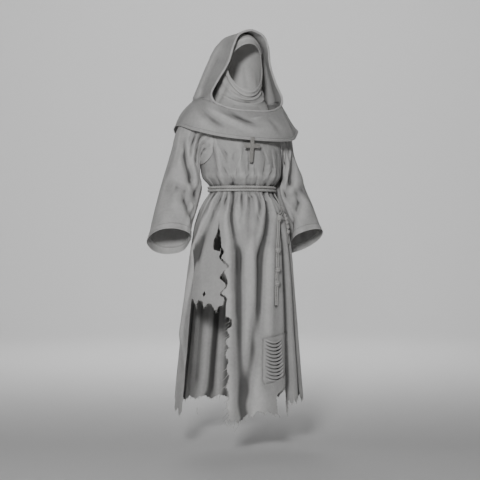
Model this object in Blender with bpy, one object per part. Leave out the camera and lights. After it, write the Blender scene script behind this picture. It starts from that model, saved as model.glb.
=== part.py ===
"""A ragged grey friar's habit, filled out as it is worn, in metres with +Z up.

The wearer faces -Y, so the wearer's left is +X. The origin is between the shoulders, where the habit
is carried, and heights in the tables are above the floor. Angles go round the body in degrees, from
0 at the front, through 90 at the wearer's left, to 180 at the back. Every panel is a wall of cloth:
a flat outline with its tears, laid on a curved form, with its folds raised out of that form.
"""

import math

import bpy
import numpy as np
from mathutils import Vector
from mathutils.bvhtree import BVHTree
from mathutils.geometry import delaunay_2d_cdt

CARRY_HEIGHT = 1.44
CLOTH = 0.002
HEAVY_CLOTH = 0.0025
LINEN = 0.0016
SEAM_GAP = 0.0003
LYING_GAP = 0.0006
OUTER_GAP = 0.0012
INNER_GAP = 0.0010

ROPE_RADIUS = 0.0066
BELT_HEIGHT = 1.090
BINDING_RADIUS = 0.0040

RIGHT_SEAM = -80.0
LEFT_SEAM = 92.0
BACK_SEAM = 180.0
NECK_HEIGHT = 1.436
ARMHOLE_ANGLE = 88.0
ARMHOLE_HEIGHT = 1.305
ARMHOLE_RISE = 0.112
ARMHOLE_SPREAD = 33.0
ARMHOLE_GROW = 0.002
ARMHOLE_LIFT = 0.0014
DEGREES_A_METRE = 250.0
WRAP_ANGLE = -114.0
CORNER_ANGLE = 54.0
NECK_STEP = 9.0
SEAM_STEP = 0.055
EDGE_CLEAR = 0.42
HOLE_CLEAR = 0.36

GATHERS = 26
GATHER_DEPTH = 0.0055

CROSS_HEIGHT = 0.105
CROSS_WIDTH = 0.070
CROSS_BAR = 0.017
CROSS_SHOULDER = -0.036
CROSS_THICKNESS = 0.004
CROSS_TOP = (-0.024, -0.166, -0.144)
CROSS_LEAN = 9.0

CORD_SIDES = 10
FRONT_CORD_GAP = 0.0012
HIP_CORD_GAP = 0.0009

CLOTH_COLOUR = (0.36, 0.355, 0.35, 1.0)
LINEN_COLOUR = (0.41, 0.405, 0.395, 1.0)
ROPE_COLOUR = (0.39, 0.38, 0.36, 1.0)
WOOD_COLOUR = (0.31, 0.30, 0.29, 1.0)


def table(columns, *rows):
    """Rows of numbers as named columns."""
    return {name: np.array([row[i] for row in rows], float) for i, name in enumerate(columns.split())}


# The body of the tunic, level by level
BODY = table(
    "height half_width front back centre_x centre_y",
    (0.100, 0.286, 0.246, 0.250, -0.004, 0.000),
    (0.190, 0.280, 0.240, 0.243, -0.004, 0.000),
    (0.450, 0.257, 0.218, 0.222, -0.002, 0.000),
    (0.700, 0.234, 0.196, 0.200, 0.002, 0.000),
    (0.870, 0.214, 0.176, 0.184, 0.006, 0.000),
    (0.960, 0.198, 0.158, 0.168, 0.008, 0.000),
    (1.035, 0.164, 0.132, 0.142, 0.009, 0.000),
    (1.066, 0.143, 0.116, 0.120, 0.009, 0.000),
    (1.080, 0.137, 0.110, 0.113, 0.009, 0.000),
    (1.100, 0.137, 0.110, 0.113, 0.009, 0.000),
    (1.116, 0.148, 0.124, 0.124, 0.008, 0.000),
    (1.135, 0.164, 0.139, 0.136, 0.006, 0.000),
    (1.170, 0.173, 0.142, 0.140, 0.004, 0.000),
    (1.240, 0.178, 0.139, 0.138, 0.002, 0.004),
    (1.330, 0.184, 0.132, 0.132, 0.000, 0.014),
    (1.385, 0.174, 0.116, 0.120, 0.000, 0.022),
    (1.415, 0.146, 0.097, 0.106, 0.000, 0.026),
    (1.436, 0.100, 0.078, 0.088, 0.000, 0.028),
)

# Long folds of the skirt: a ridge is above nought and a trough below it
SKIRT_FOLDS = table(
    "angle height low_angle low_height width depth",
    (-35, 1.06, -28, 0.80, 4.2, -0.012),
    (-28, 0.80, -22, 0.18, 5.4, -0.016),
    (21, 1.05, 2, 0.66, 4.4, -0.013),
    (2, 0.66, -18, 0.29, 5.2, -0.013),
    (-14, 1.02, -13, 0.66, 4.0, -0.007),
    (40, 1.04, 27, 0.18, 5.0, -0.014),
    (57, 1.05, 50, 0.17, 5.0, -0.014),
    (74, 1.04, 73, 0.16, 5.0, -0.013),
    (92, 1.02, 96, 0.18, 5.0, -0.012),
    (112, 1.04, 116, 0.15, 5.2, -0.014),
    (131, 1.03, 137, 0.20, 5.0, -0.011),
    (148, 1.05, 155, 0.16, 5.4, -0.015),
    (167, 1.04, 170, 0.16, 5.0, -0.012),
    (184, 1.05, 189, 0.16, 5.4, -0.015),
    (203, 1.04, 205, 0.30, 4.6, -0.010),
    (219, 1.05, 222, 0.16, 5.4, -0.014),
    (237, 1.04, 239, 0.16, 5.0, -0.012),
    (-66, 1.04, -83, 0.84, 4.0, 0.011),
    (-83, 0.84, -96, 0.50, 4.4, 0.011),
    (-57, 1.03, -74, 0.82, 4.0, -0.006),
    (-104, 1.03, -108, 0.16, 5.0, -0.013),
)

# The rip beside the wearer's right thigh, and the torn edge that goes on down to the hem
RIP = table(
    "height left right",
    (0.957, -49.0, -49.0),
    (0.915, -50.4, -46.6),
    (0.868, -54.2, -43.6),
    (0.845, -53.6, -43.4),
    (0.832, -44.0, -39.8),
    (0.808, -45.2, -42.0),
    (0.770, -35.8, -33.0),
    (0.748, -40.4, -37.6),
    (0.728, -43.0, -35.8),
    (0.700, -37.4, -34.2),
    (0.665, -42.6, -39.6),
    (0.643, -37.0, -33.6),
    (0.616, -39.0, -35.4),
)
TORN_EDGE = table(
    "height angle",
    (0.575, -35.2),
    (0.560, -30.0),
    (0.536, -29.6),
    (0.522, -33.4),
    (0.498, -30.6),
    (0.474, -33.8),
    (0.448, -30.8),
    (0.424, -34.0),
    (0.396, -30.8),
    (0.366, -33.0),
    (0.330, -30.2),
    (0.300, -32.4),
    (0.258, -30.4),
    (0.222, -32.0),
    (0.184, -30.8),
    (0.143, -31.8),
)
THIGH_EDGE = table(
    "angle height",
    (-80.0, 0.640),
    (-77.0, 0.626),
    (-74.0, 0.648),
    (-70.0, 0.622),
    (-66.5, 0.640),
    (-62.0, 0.616),
    (-58.5, 0.634),
    (-54.0, 0.606),
    (-50.0, 0.626),
    (-45.5, 0.598),
    (-42.0, 0.618),
)
FRONT_HEM = table(
    "angle height",
    (-29.6, 0.172),
    (-27.0, 0.158),
    (-24.5, 0.176),
    (-22.0, 0.155),
    (-18.5, 0.170),
    (-15.0, 0.184),
    (-10.5, 0.178),
    (-6.0, 0.197),
    (-1.0, 0.188),
    (4.0, 0.194),
    (9.5, 0.176),
    (12.0, 0.182),
    (12.6, 0.262),
    (18.5, 0.272),
    (25.0, 0.296),
    (26.0, 0.176),
    (28.2, 0.180),
    (29.2, 0.224),
    (32.0, 0.206),
    (35.0, 0.234),
    (38.5, 0.208),
    (42.0, 0.234),
    (48.0, 0.222),
    (53.0, 0.240),
    (58.0, 0.214),
    (63.0, 0.236),
    (69.0, 0.210),
    (75.0, 0.232),
    (81.0, 0.206),
    (86.0, 0.228),
    (92.0, 0.212),
)
BACK_HEM = table(
    "angle height",
    (92.0, 0.212),
    (98.0, 0.232),
    (104.0, 0.204),
    (110.0, 0.226),
    (118.0, 0.198),
    (125.0, 0.220),
    (132.0, 0.192),
    (141.0, 0.214),
    (150.0, 0.190),
    (158.0, 0.208),
    (167.0, 0.186),
    (176.0, 0.206),
    (185.0, 0.188),
    (193.0, 0.208),
    (202.0, 0.194),
    (210.0, 0.216),
    (218.0, 0.196),
    (226.0, 0.222),
    (234.0, 0.202),
    (241.0, 0.236),
    (247.0, 0.224),
    (253.0, 0.188),
    (260.0, 0.196),
    (266.0, 0.180),
    (272.0, 0.194),
    (276.0, 0.166),
    (280.0, 0.186),
)

# The worn place over the wearer's left shin, a ladder of slots with the last threads between them
LADDER_TOP = 0.474
LADDER_SLOTS = 11
LADDER_PITCH = 0.0142
LADDER_GAP = 0.0054
LADDER_SAG = 0.015
LADDER_LEFT = 2.6
LADDER_RIGHT = 22.0

# One sleeve from armhole to cuff: centre, the way to its outer side and the way to its front
SLEEVE = table(
    "along x y z out_x out_z front_y front_z",
    (0.10, 0.194, 0.024, -0.150, 0.034, 0.104, -0.068, 0.000),
    (0.20, 0.202, 0.038, -0.185, 0.060, 0.082, -0.068, 0.000),
    (0.34, 0.210, 0.050, -0.245, 0.073, 0.054, -0.074, 0.010),
    (0.52, 0.237, 0.050, -0.335, 0.083, 0.034, -0.082, 0.020),
    (0.76, 0.276, 0.035, -0.455, 0.089, 0.022, -0.088, 0.036),
    (1.00, 0.310, 0.015, -0.567, 0.090, 0.015, -0.088, 0.050),
)
SLEEVE_COLUMNS = 24
SLEEVE_FOLDS = table(
    "around along low_around low_along width depth",
    (20, 0.10, 30, 0.34, 7.0, -0.005),
    (44, 0.08, 52, 0.50, 7.0, -0.008),
    (52, 0.50, 108, 0.74, 8.0, -0.008),
    (62, 0.06, 70, 0.30, 5.0, -0.005),
    (78, 0.06, 88, 0.32, 5.0, -0.006),
    (94, 0.06, 104, 0.30, 5.0, -0.006),
    (110, 0.06, 118, 0.26, 5.0, -0.005),
    (22, 0.52, 96, 0.60, 8.0, 0.006),
    (26, 0.58, 92, 0.66, 8.0, -0.007),
    (100, 0.66, 128, 0.90, 9.0, -0.006),
    (60, 0.72, 84, 0.94, 9.0, 0.005),
    (-30, 0.10, -34, 0.46, 9.0, -0.006),
    (-64, 0.10, -62, 0.60, 9.0, -0.007),
    (-100, 0.54, -40, 0.66, 9.0, -0.006),
    (180, 0.30, 170, 0.80, 9.0, -0.004),
)

# The line where the hood joins the cape, with the lower edge of the face opening at the front
NECK_LINE = table(
    "angle x y z",
    (0, 0.000, -0.136, -0.038),
    (17, 0.050, -0.131, -0.037),
    (35, 0.102, -0.115, -0.029),
    (54, 0.155, -0.077, -0.004),
    (75, 0.1785, -0.015, 0.016),
    (90, 0.183, 0.030, 0.020),
    (110, 0.176, 0.095, 0.022),
    (130, 0.145, 0.150, 0.022),
    (155, 0.080, 0.192, 0.021),
    (180, 0.000, 0.205, 0.020),
)
CAPE_HEM = table(
    "angle height",
    (-180, 1.275),
    (-135, 1.302),
    (-110, 1.335),
    (-86, 1.348),
    (-60, 1.322),
    (-32, 1.295),
    (0, 1.282),
    (30, 1.285),
    (50, 1.296),
    (70, 1.337),
    (95, 1.342),
    (115, 1.328),
    (140, 1.300),
    (180, 1.275),
)
CAPE_HALF_WIDTH = 0.266
CAPE_FRONT = 0.217
CAPE_BACK = 0.190
CAPE_CENTRE_Y = 0.050
CAPE_FOLDS = table(
    "angle along low_angle low_along width depth",
    (-50, 0.10, -14, 0.72, 7.0, -0.008),
    (-38, 0.06, -6, 0.52, 6.0, 0.009),
    (12, 0.10, 20, 0.40, 8.0, 0.005),
    (52, 0.10, 62, 1.00, 5.0, -0.006),
    (-80, 0.20, -92, 1.00, 8.0, -0.005),
    (120, 0.10, 128, 1.00, 8.0, -0.008),
    (152, 0.20, 150, 1.00, 8.0, 0.006),
    (178, 0.10, 184, 1.00, 8.0, -0.008),
    (208, 0.20, 205, 1.00, 8.0, 0.006),
    (236, 0.10, 230, 1.00, 8.0, -0.008),
)

# The hood above the neck line: its front edge, its widest place and the seam at the back
HOOD = table(
    "up edge_x edge_y edge_z wide mid_y back_y back_z lift",
    (0.10, 0.1635, -0.066, 0.026, 0.180, 0.045, 0.202, 0.044, 0.004),
    (0.28, 0.1395, -0.063, 0.081, 0.163, 0.035, 0.180, 0.100, 0.000),
    (0.54, 0.0963, -0.086, 0.165, 0.132, 0.025, 0.152, 0.178, 0.000),
    (0.76, 0.0760, -0.103, 0.241, 0.098, 0.015, 0.124, 0.238, 0.004),
    (0.90, 0.0500, -0.104, 0.283, 0.058, 0.010, 0.104, 0.264, 0.020),
    (1.00, 0.0000, -0.105, 0.301, 0.000, 0.005, 0.090, 0.276, 0.036),
)
HOOD_ROWS = [0.0, 0.08, 0.18, 0.30, 0.42, 0.54, 0.66, 0.77, 0.87, 0.94, 1.0]
HOOD_FOLDS = table(
    "back up low_back low_up width depth",
    (0.16, 0.80, 0.22, 0.08, 0.09, -0.006),
    (0.38, 0.74, 0.42, 0.10, 0.09, 0.005),
    (0.62, 0.70, 0.66, 0.06, 0.10, -0.006),
    (0.86, 0.66, 0.88, 0.06, 0.09, 0.005),
)

WIMPLE_COLUMNS = 24
# The neck cloth, ring by ring from the face down to the shoulders
WIMPLE = table(
    "along front_y front_z back_y back_z half_width setback lift",
    (0.00, -0.097, 0.058, -0.100, 0.245, 0.077, 0.050, 0.000),
    (0.07, -0.099, 0.048, -0.082, 0.278, 0.083, 0.048, 0.000),
    (0.16, -0.088, 0.038, -0.010, 0.300, 0.087, 0.030, 0.000),
    (0.27, -0.078, 0.030, 0.075, 0.262, 0.086, 0.000, 0.000),
    (0.38, -0.073, 0.022, 0.108, 0.190, 0.080, -0.010, 0.000),
    (0.50, -0.071, 0.010, 0.104, 0.110, 0.075, -0.004, 0.000),
    (0.62, -0.074, -0.004, 0.096, 0.056, 0.078, 0.000, 0.004),
    (0.74, -0.088, -0.020, 0.104, 0.026, 0.098, 0.000, 0.012),
    (0.87, -0.108, -0.042, 0.120, 0.004, 0.112, 0.000, 0.0290),
    (1.00, -0.120, -0.066, 0.138, -0.020, 0.122, 0.000, 0.0304),
)
NECK_ROLLS = table("along width depth", (0.20, 0.045, 0.006), (0.40, 0.055, 0.0075), (0.60, 0.055, 0.007))

# The belt's two hanging ends
FRONT_CORD = table(
    "angle height width thickness pinch",
    (62.0, 1.0735, 0.0072, 0.0040, 0.5),
    (63.0, 1.045, 0.0072, 0.0040, 0.5),
    (60.0, 1.020, 0.0072, 0.0040, 0.5),
    (50.0, 0.995, 0.0072, 0.0040, 0.5),
    (36.0, 0.978, 0.0072, 0.0040, 0.5),
    (30.5, 0.968, 0.0120, 0.0085, 0.0),
    (29.6, 0.956, 0.0072, 0.0042, 0.5),
    (27.2, 0.920, 0.0072, 0.0042, 0.5),
    (24.6, 0.880, 0.0072, 0.0042, 0.5),
    (22.5, 0.848, 0.0072, 0.0042, 0.5),
    (22.0, 0.838, 0.0125, 0.0085, 0.0),
    (21.6, 0.828, 0.0125, 0.0085, 0.0),
    (21.2, 0.818, 0.0072, 0.0042, 0.5),
    (19.8, 0.772, 0.0072, 0.0042, 0.5),
    (19.4, 0.762, 0.0125, 0.0085, 0.0),
    (19.0, 0.752, 0.0125, 0.0085, 0.0),
    (18.7, 0.742, 0.0072, 0.0042, 0.5),
    (18.0, 0.714, 0.0072, 0.0042, 0.5),
    (17.7, 0.705, 0.0120, 0.0085, 0.0),
    (17.5, 0.696, 0.0120, 0.0085, 0.0),
    (17.3, 0.686, 0.0050, 0.0046, 0.0),
    (16.8, 0.650, 0.0050, 0.0046, 0.0),
    (16.2, 0.612, 0.0046, 0.0044, 0.0),
)
HIP_CORD = table(
    "angle height width thickness pinch",
    (76.0, 1.0735, 0.0044, 0.0040, 0.0),
    (75.0, 1.035, 0.0044, 0.0040, 0.0),
    (68.0, 1.005, 0.0044, 0.0040, 0.0),
    (58.0, 0.990, 0.0044, 0.0040, 0.0),
    (54.0, 0.982, 0.0086, 0.0076, 0.0),
    (52.4, 0.973, 0.0046, 0.0042, 0.0),
    (51.6, 0.966, 0.0086, 0.0076, 0.0),
    (51.4, 0.957, 0.0046, 0.0042, 0.0),
    (51.8, 0.950, 0.0086, 0.0076, 0.0),
    (52.0, 0.940, 0.0046, 0.0042, 0.0),
    (52.0, 0.932, 0.0086, 0.0076, 0.0),
    (52.4, 0.922, 0.0046, 0.0042, 0.0),
    (53.6, 0.912, 0.0090, 0.0078, 0.0),
    (54.0, 0.900, 0.0044, 0.0040, 0.0),
    (53.6, 0.880, 0.0044, 0.0040, 0.0),
    (53.0, 0.862, 0.0042, 0.0038, 0.0),
)


def through(knots, values, at):
    """A smooth curve through rows of values, read at any place between the first knot and the last."""
    knots = np.asarray(knots, float)
    values = np.asarray(values, float)
    slope = np.gradient(values, knots, axis=0)
    at = np.clip(np.asarray(at, float), knots[0], knots[-1])
    i = np.clip(np.searchsorted(knots, at, side="right") - 1, 0, len(knots) - 2)
    span = knots[i + 1] - knots[i]
    t = (at - knots[i]) / span
    pick = np.arange(at.size) if values.ndim == 3 else slice(None)
    rows = [values[i], values[i + 1], slope[i], slope[i + 1]]
    if values.ndim == 3:
        rows = [row[pick, pick] for row in rows]
    if rows[0].ndim > 1:
        t, span = t[:, None], span[:, None]
    start = (1 + 2 * t) * (1 - t) ** 2 * rows[0] + t * (1 - t) ** 2 * span * rows[2]
    end = t * t * (3 - 2 * t) * rows[1] + t * t * (t - 1) * span * rows[3]
    return start + end


def column(rows, key, name, at):
    return through(rows[key], rows[name], at)


def ease(t):
    """From 0 to 1, smooth at both ends."""
    t = np.clip(t, 0.0, 1.0)
    return t * t * (3 - 2 * t)


def creases(folds, u, v, v_scale):
    """Soft ridges and troughs along straight lines on the flat cloth, fading out at their ends."""
    names = list(folds)
    total = np.zeros(len(u))
    for row in zip(*(folds[name] for name in names)):
        u0, v0, u1, v1, width, depth = row
        du, dv = u1 - u0, (v1 - v0) * v_scale
        length = du * du + dv * dv
        t = np.clip(((u - u0) * du + (v - v0) * v_scale * dv) / length, 0.0, 1.0)
        across = np.hypot(u - u0 - t * du, (v - v0) * v_scale - t * dv)
        total += depth * np.exp(-((across / width) ** 2))
    return total


def normals(form, u, v, du, dv):
    """Unit normals of a form, from its slope each way."""
    along_u = form(u + du, v) - form(u - du, v)
    along_v = form(u, v + dv) - form(u, v - dv)
    cross = np.cross(along_u, along_v)
    return cross / np.maximum(np.linalg.norm(cross, axis=1, keepdims=True), 1e-12)


def body_form(angle, height):
    """The tunic without its folds."""
    turn = np.radians(angle)
    row = {name: column(BODY, "height", name, height) for name in BODY if name != "height"}
    depth = np.where(np.cos(turn) > 0, row["front"], row["back"])
    x = row["centre_x"] + row["half_width"] * np.sin(turn)
    y = row["centre_y"] - depth * np.cos(turn)
    return np.stack([x, y, np.asarray(height) - CARRY_HEIGHT], axis=1)


def body_folds(angle, height):
    """How far the tunic's cloth stands out of its plain form."""
    wrapped = (angle - WRAP_ANGLE) % 360.0 + WRAP_ANGLE
    total = creases(SKIRT_FOLDS, wrapped, height, 90.0)
    wobble = 5.0 * np.sin(np.radians(3 * wrapped + 20)) + 3.0 * np.sin(np.radians(7 * wrapped))
    wave = np.cos(np.radians(GATHERS * wrapped + 3.0 * wobble))
    below = ease((height - 0.93) / 0.10) * ease((BELT_HEIGHT - 0.004 - height) / 0.030)
    above = ease((1.215 - height) / 0.075) * ease((height - BELT_HEIGHT - 0.004) / 0.035)
    smooth_thigh = 1 - 0.85 * np.exp(-(((wrapped + 62) / 15) ** 2)) * ease((1.05 - height) / 0.05)
    total += GATHER_DEPTH * wave * (below * smooth_thigh + above)
    return total


def tunic_place(angle, height):
    angle, height = np.asarray(angle, float), np.asarray(height, float)
    out = normals(body_form, angle, height, 0.2, 0.002)
    return body_form(angle, height) + out * body_folds(angle, height)[:, None]


def inside(points, outline):
    """Which points lie inside a closed outline."""
    x, y = points[:, 0], points[:, 1]
    found = np.zeros(len(points), bool)
    for (x0, y0), (x1, y1) in zip(outline, np.roll(outline, -1, axis=0)):
        crosses = (y0 > y) != (y1 > y)
        found ^= crosses & (x < (x1 - x0) * (y - y0) / (y1 - y0 + 1e-15) + x0)
    return found


def near_edge(points, outline):
    """The distance from each point to the nearest side of an outline."""
    best = np.full(len(points), 1e9)
    for a, b in zip(outline, np.roll(outline, -1, axis=0)):
        side = b - a
        t = np.clip((points - a) @ side / (side @ side), 0.0, 1.0)
        best = np.minimum(best, np.linalg.norm(points - a - t[:, None] * side, axis=1))
    return best


def divided(outline, steps):
    """An outline with its long sides divided, in grid steps."""
    pieces = []
    for a, b in zip(outline, np.roll(outline, -1, axis=0)):
        count = max(1, int(np.ceil(np.linalg.norm((b - a) / steps) - 0.25)))
        pieces.append(a + (b - a) * (np.arange(count) / count)[:, None])
    return np.concatenate(pieces)


def material(name, colour, roughness):
    made = bpy.data.materials.new(name)
    made.use_nodes = True
    made.diffuse_color = colour
    shader = made.node_tree.nodes["Principled BSDF"]
    shader.inputs["Base Color"].default_value = colour
    shader.inputs["Roughness"].default_value = roughness
    shader.inputs["Metallic"].default_value = 0.0
    return made


def add_object(name, points, faces, finish):
    mesh = bpy.data.meshes.new(name)
    mesh.from_pydata([tuple(map(float, p)) for p in points], [], [tuple(map(int, f)) for f in faces])
    mesh.materials.append(finish)
    mesh.shade_smooth()
    made = bpy.data.objects.new(name, mesh)
    bpy.context.scene.collection.objects.link(made)
    return made


def thicken(name, outer, inner, triangles, finish):
    """A closed wall from an outer skin, an inner skin and the rim between them."""
    count = len(outer)
    edges = {}
    for a, b, c in triangles:
        for edge in ((a, b), (b, c), (c, a)):
            edges[edge] = True
    faces = [tuple(t) for t in triangles]
    faces += [(c + count, b + count, a + count) for a, b, c in triangles]
    for a, b in edges:
        if (b, a) in edges:
            continue
        if outer[a][2] >= outer[b][2]:
            faces += [(a, a + count, b + count), (a, b + count, b)]
        else:
            faces += [(a, a + count, b), (b, a + count, b + count)]
    made = add_object(name, np.concatenate([outer, inner]), faces, finish)
    made["skin"] = len(triangles)
    return made


def skins_of(objects, whole=False):
    """Search trees over the cloth that other pieces lie on: its outer skins, or all of its faces."""
    trees = []
    for made in objects:
        points = [v.co.copy() for v in made.data.vertices]
        faces = [tuple(f.vertices) for f in made.data.polygons[: None if whole else made["skin"]]]
        trees.append(BVHTree.FromPolygons(points, faces))
    return trees


def lack(point, trees, gap, reach=0.03):
    """How far a point must move, and which way, to stand the gap off the nearest skin."""
    worst, way = 0.0, None
    for tree in trees:
        spot, normal, _, distance = tree.find_nearest(Vector(point), reach)
        if spot is None:
            continue
        above = (Vector(point) - spot).dot(normal)
        if above < -0.5 * distance:
            short = gap - above
        else:
            short = gap - distance
        if short > worst:
            worst, way = short, np.array(normal)
    return worst, way


def lifted(points, triangles, trees, gap, rounds=6):
    """Points moved off the cloth below until they, and the middles of their edges, clear it."""
    moved = points.copy()
    edges = np.array([(t[i], t[i - 1]) for t in triangles for i in range(3)])
    edges = np.unique(np.sort(edges, axis=1), axis=0)
    for _ in range(rounds):
        for i in range(len(moved)):
            short, way = lack(moved[i], trees, gap)
            if short > 0:
                moved[i] += way * short
        for a, b in edges:
            short, way = lack((moved[a] + moved[b]) / 2, trees, gap)
            if short > 0:
                moved[a] += way * short
                moved[b] += way * short
    return moved


def panel(name, place, outline, grid, steps, thickness, finish, holes=(), flip=False,
          deltas=(0.2, 0.002), over=()):
    """A cut panel: the grid points inside its outline and outside its holes, joined and thickened.

    On the middle seams its thickness goes straight in, so that two mirrored halves meet face to face.
    """
    steps = np.array(steps)
    outline = divided(np.asarray(outline, float), steps) / steps
    holes = [np.asarray(hole, float) / steps for hole in holes]
    points = np.asarray(grid, float) / steps
    keep = inside(points, outline) & (near_edge(points, outline) > EDGE_CLEAR)
    for hole in holes:
        keep &= ~inside(points, hole) & (near_edge(points, hole) > HOLE_CLEAR)
    loops = [outline, *holes]
    fixed = np.concatenate(loops)
    sides = []
    start = 0
    for loop in loops:
        sides += [(start + i, start + (i + 1) % len(loop)) for i in range(len(loop))]
        start += len(loop)
    flat = np.concatenate([fixed, points[keep]])
    found, _, triangles, *_ = delaunay_2d_cdt([Vector(p) for p in flat], sides, [], 0, 1e-6)
    found = np.array([tuple(p) for p in found])
    triangles = np.array([tuple(t) for t in triangles])
    middle = found[triangles].mean(axis=1)
    keep = inside(middle, outline)
    for hole in holes:
        keep &= ~inside(middle, hole)
    triangles = triangles[keep]
    used, triangles = np.unique(triangles, return_inverse=True)
    triangles = triangles.reshape(-1, 3)
    u, v = (found[used] * steps).T
    outer = place(u, v)
    out = normals(place, u, v, *deltas) * (-1 if flip else 1)
    out[np.abs(outer[:, 0]) < 2 * SEAM_GAP, 0] = 0.0
    out /= np.linalg.norm(out, axis=1, keepdims=True)
    if flip:
        triangles = triangles[:, ::-1]
    triangles = [tuple(map(int, t)) for t in triangles]
    inner = outer - out * thickness
    if over:
        outer, inner = laid(outer, inner, triangles, over)
    return thicken(name, outer, inner, triangles, finish)


def laid(outer, inner, triangles, over):
    """Both skins of a wall moved together until neither touches the cloth below."""
    shift = lifted(outer, triangles, over, OUTER_GAP) - outer
    outer, inner = outer + shift, inner + shift
    shift = lifted(inner, triangles, over, INNER_GAP) - inner
    return outer + shift, inner + shift


def tube(name, place, around, rows, thickness, finish, flip=False, deltas=(0.5, 0.004), over=()):
    """A cloth tube, open at both ends: the first value goes round and the second along it."""
    angles = np.arange(around) * 360.0 / around
    u, v = np.meshgrid(angles, rows)
    u, v = u.ravel(), v.ravel()
    outer = place(u, v)
    out = normals(place, u, v, *deltas) * (-1 if flip else 1)
    triangles = []
    for j in range(len(rows) - 1):
        for i in range(around):
            k = (i + 1) % around
            a, b, c, d = j * around + i, j * around + k, (j + 1) * around + k, (j + 1) * around + i
            triangles += [(a, b, c), (a, c, d)]
    if flip:
        triangles = [t[::-1] for t in triangles]
    inner = outer - out * thickness
    if over:
        outer, inner = laid(outer, inner, triangles, over)
    return thicken(name, outer, inner, triangles, finish)


def grid_rows(bands, left, right):
    """Grid points in rows: each band has its heights and the angle between its columns."""
    points = []
    for heights, step in bands:
        count = int(round((right - left) / step))
        angles = left + (right - left) * np.arange(count + 1) / count
        for height in heights:
            points += [(angle, height) for angle in angles]
    return points


def armhole_points(side, turns, grow=0.0):
    """Angles and heights round an armhole, widened by some metres; turn 0 is its front side."""
    turns = np.radians(turns)
    angle = side * (ARMHOLE_ANGLE - (ARMHOLE_SPREAD + DEGREES_A_METRE * grow) * np.cos(turns))
    return angle, ARMHOLE_HEIGHT + (ARMHOLE_RISE + grow) * np.sin(turns)


def armhole(side, start, end, count):
    """Part of an armhole's outline, from one turn to another."""
    return np.stack(armhole_points(side, np.linspace(start, end, count)), axis=1)


def seam_turn(side, seam):
    """Where the side seam meets the armhole's outline."""
    return math.degrees(math.acos((ARMHOLE_ANGLE - side * seam) / ARMHOLE_SPREAD))


def ladder_slots():
    """The slots of the ladder, each a band that sags in the middle."""
    slots = []
    across = np.linspace(0.0, 1.0, 6)
    for row in range(LADDER_SLOTS):
        end = 1.6 * math.sin(2.4 * row)
        angle = LADDER_LEFT + 0.5 * end + (LADDER_RIGHT - LADDER_LEFT - 0.8 * end) * across
        sag = LADDER_SAG * 4 * across * (1 - across)
        middle = LADDER_TOP - row * LADDER_PITCH - sag
        half = 0.5 * LADDER_GAP * np.sqrt(np.clip(4 * across * (1 - across), 0.10, 1.0))
        under = np.stack([angle, middle - half], axis=1)
        over = np.stack([angle, middle + half], axis=1)[::-1]
        slots.append(np.concatenate([under, over]))
    return slots


def seam_angle(angle, side):
    """The seam's angle, moved half the seam gap to one side at the waist."""
    return angle + side * math.degrees(0.5 * SEAM_GAP / 0.11)


def seam_line(angle, top, bottom):
    """Points down a side seam at the same heights on both panels."""
    count = int((top - bottom) / SEAM_STEP)
    heights = [top - SEAM_STEP * i for i in range(1, count + 1) if top - SEAM_STEP * i > bottom + 0.02]
    return np.array([(angle, height) for height in heights]).reshape(-1, 2)


def columns_of(rows, *names):
    return np.stack([rows[name] for name in names], axis=1)


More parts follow.
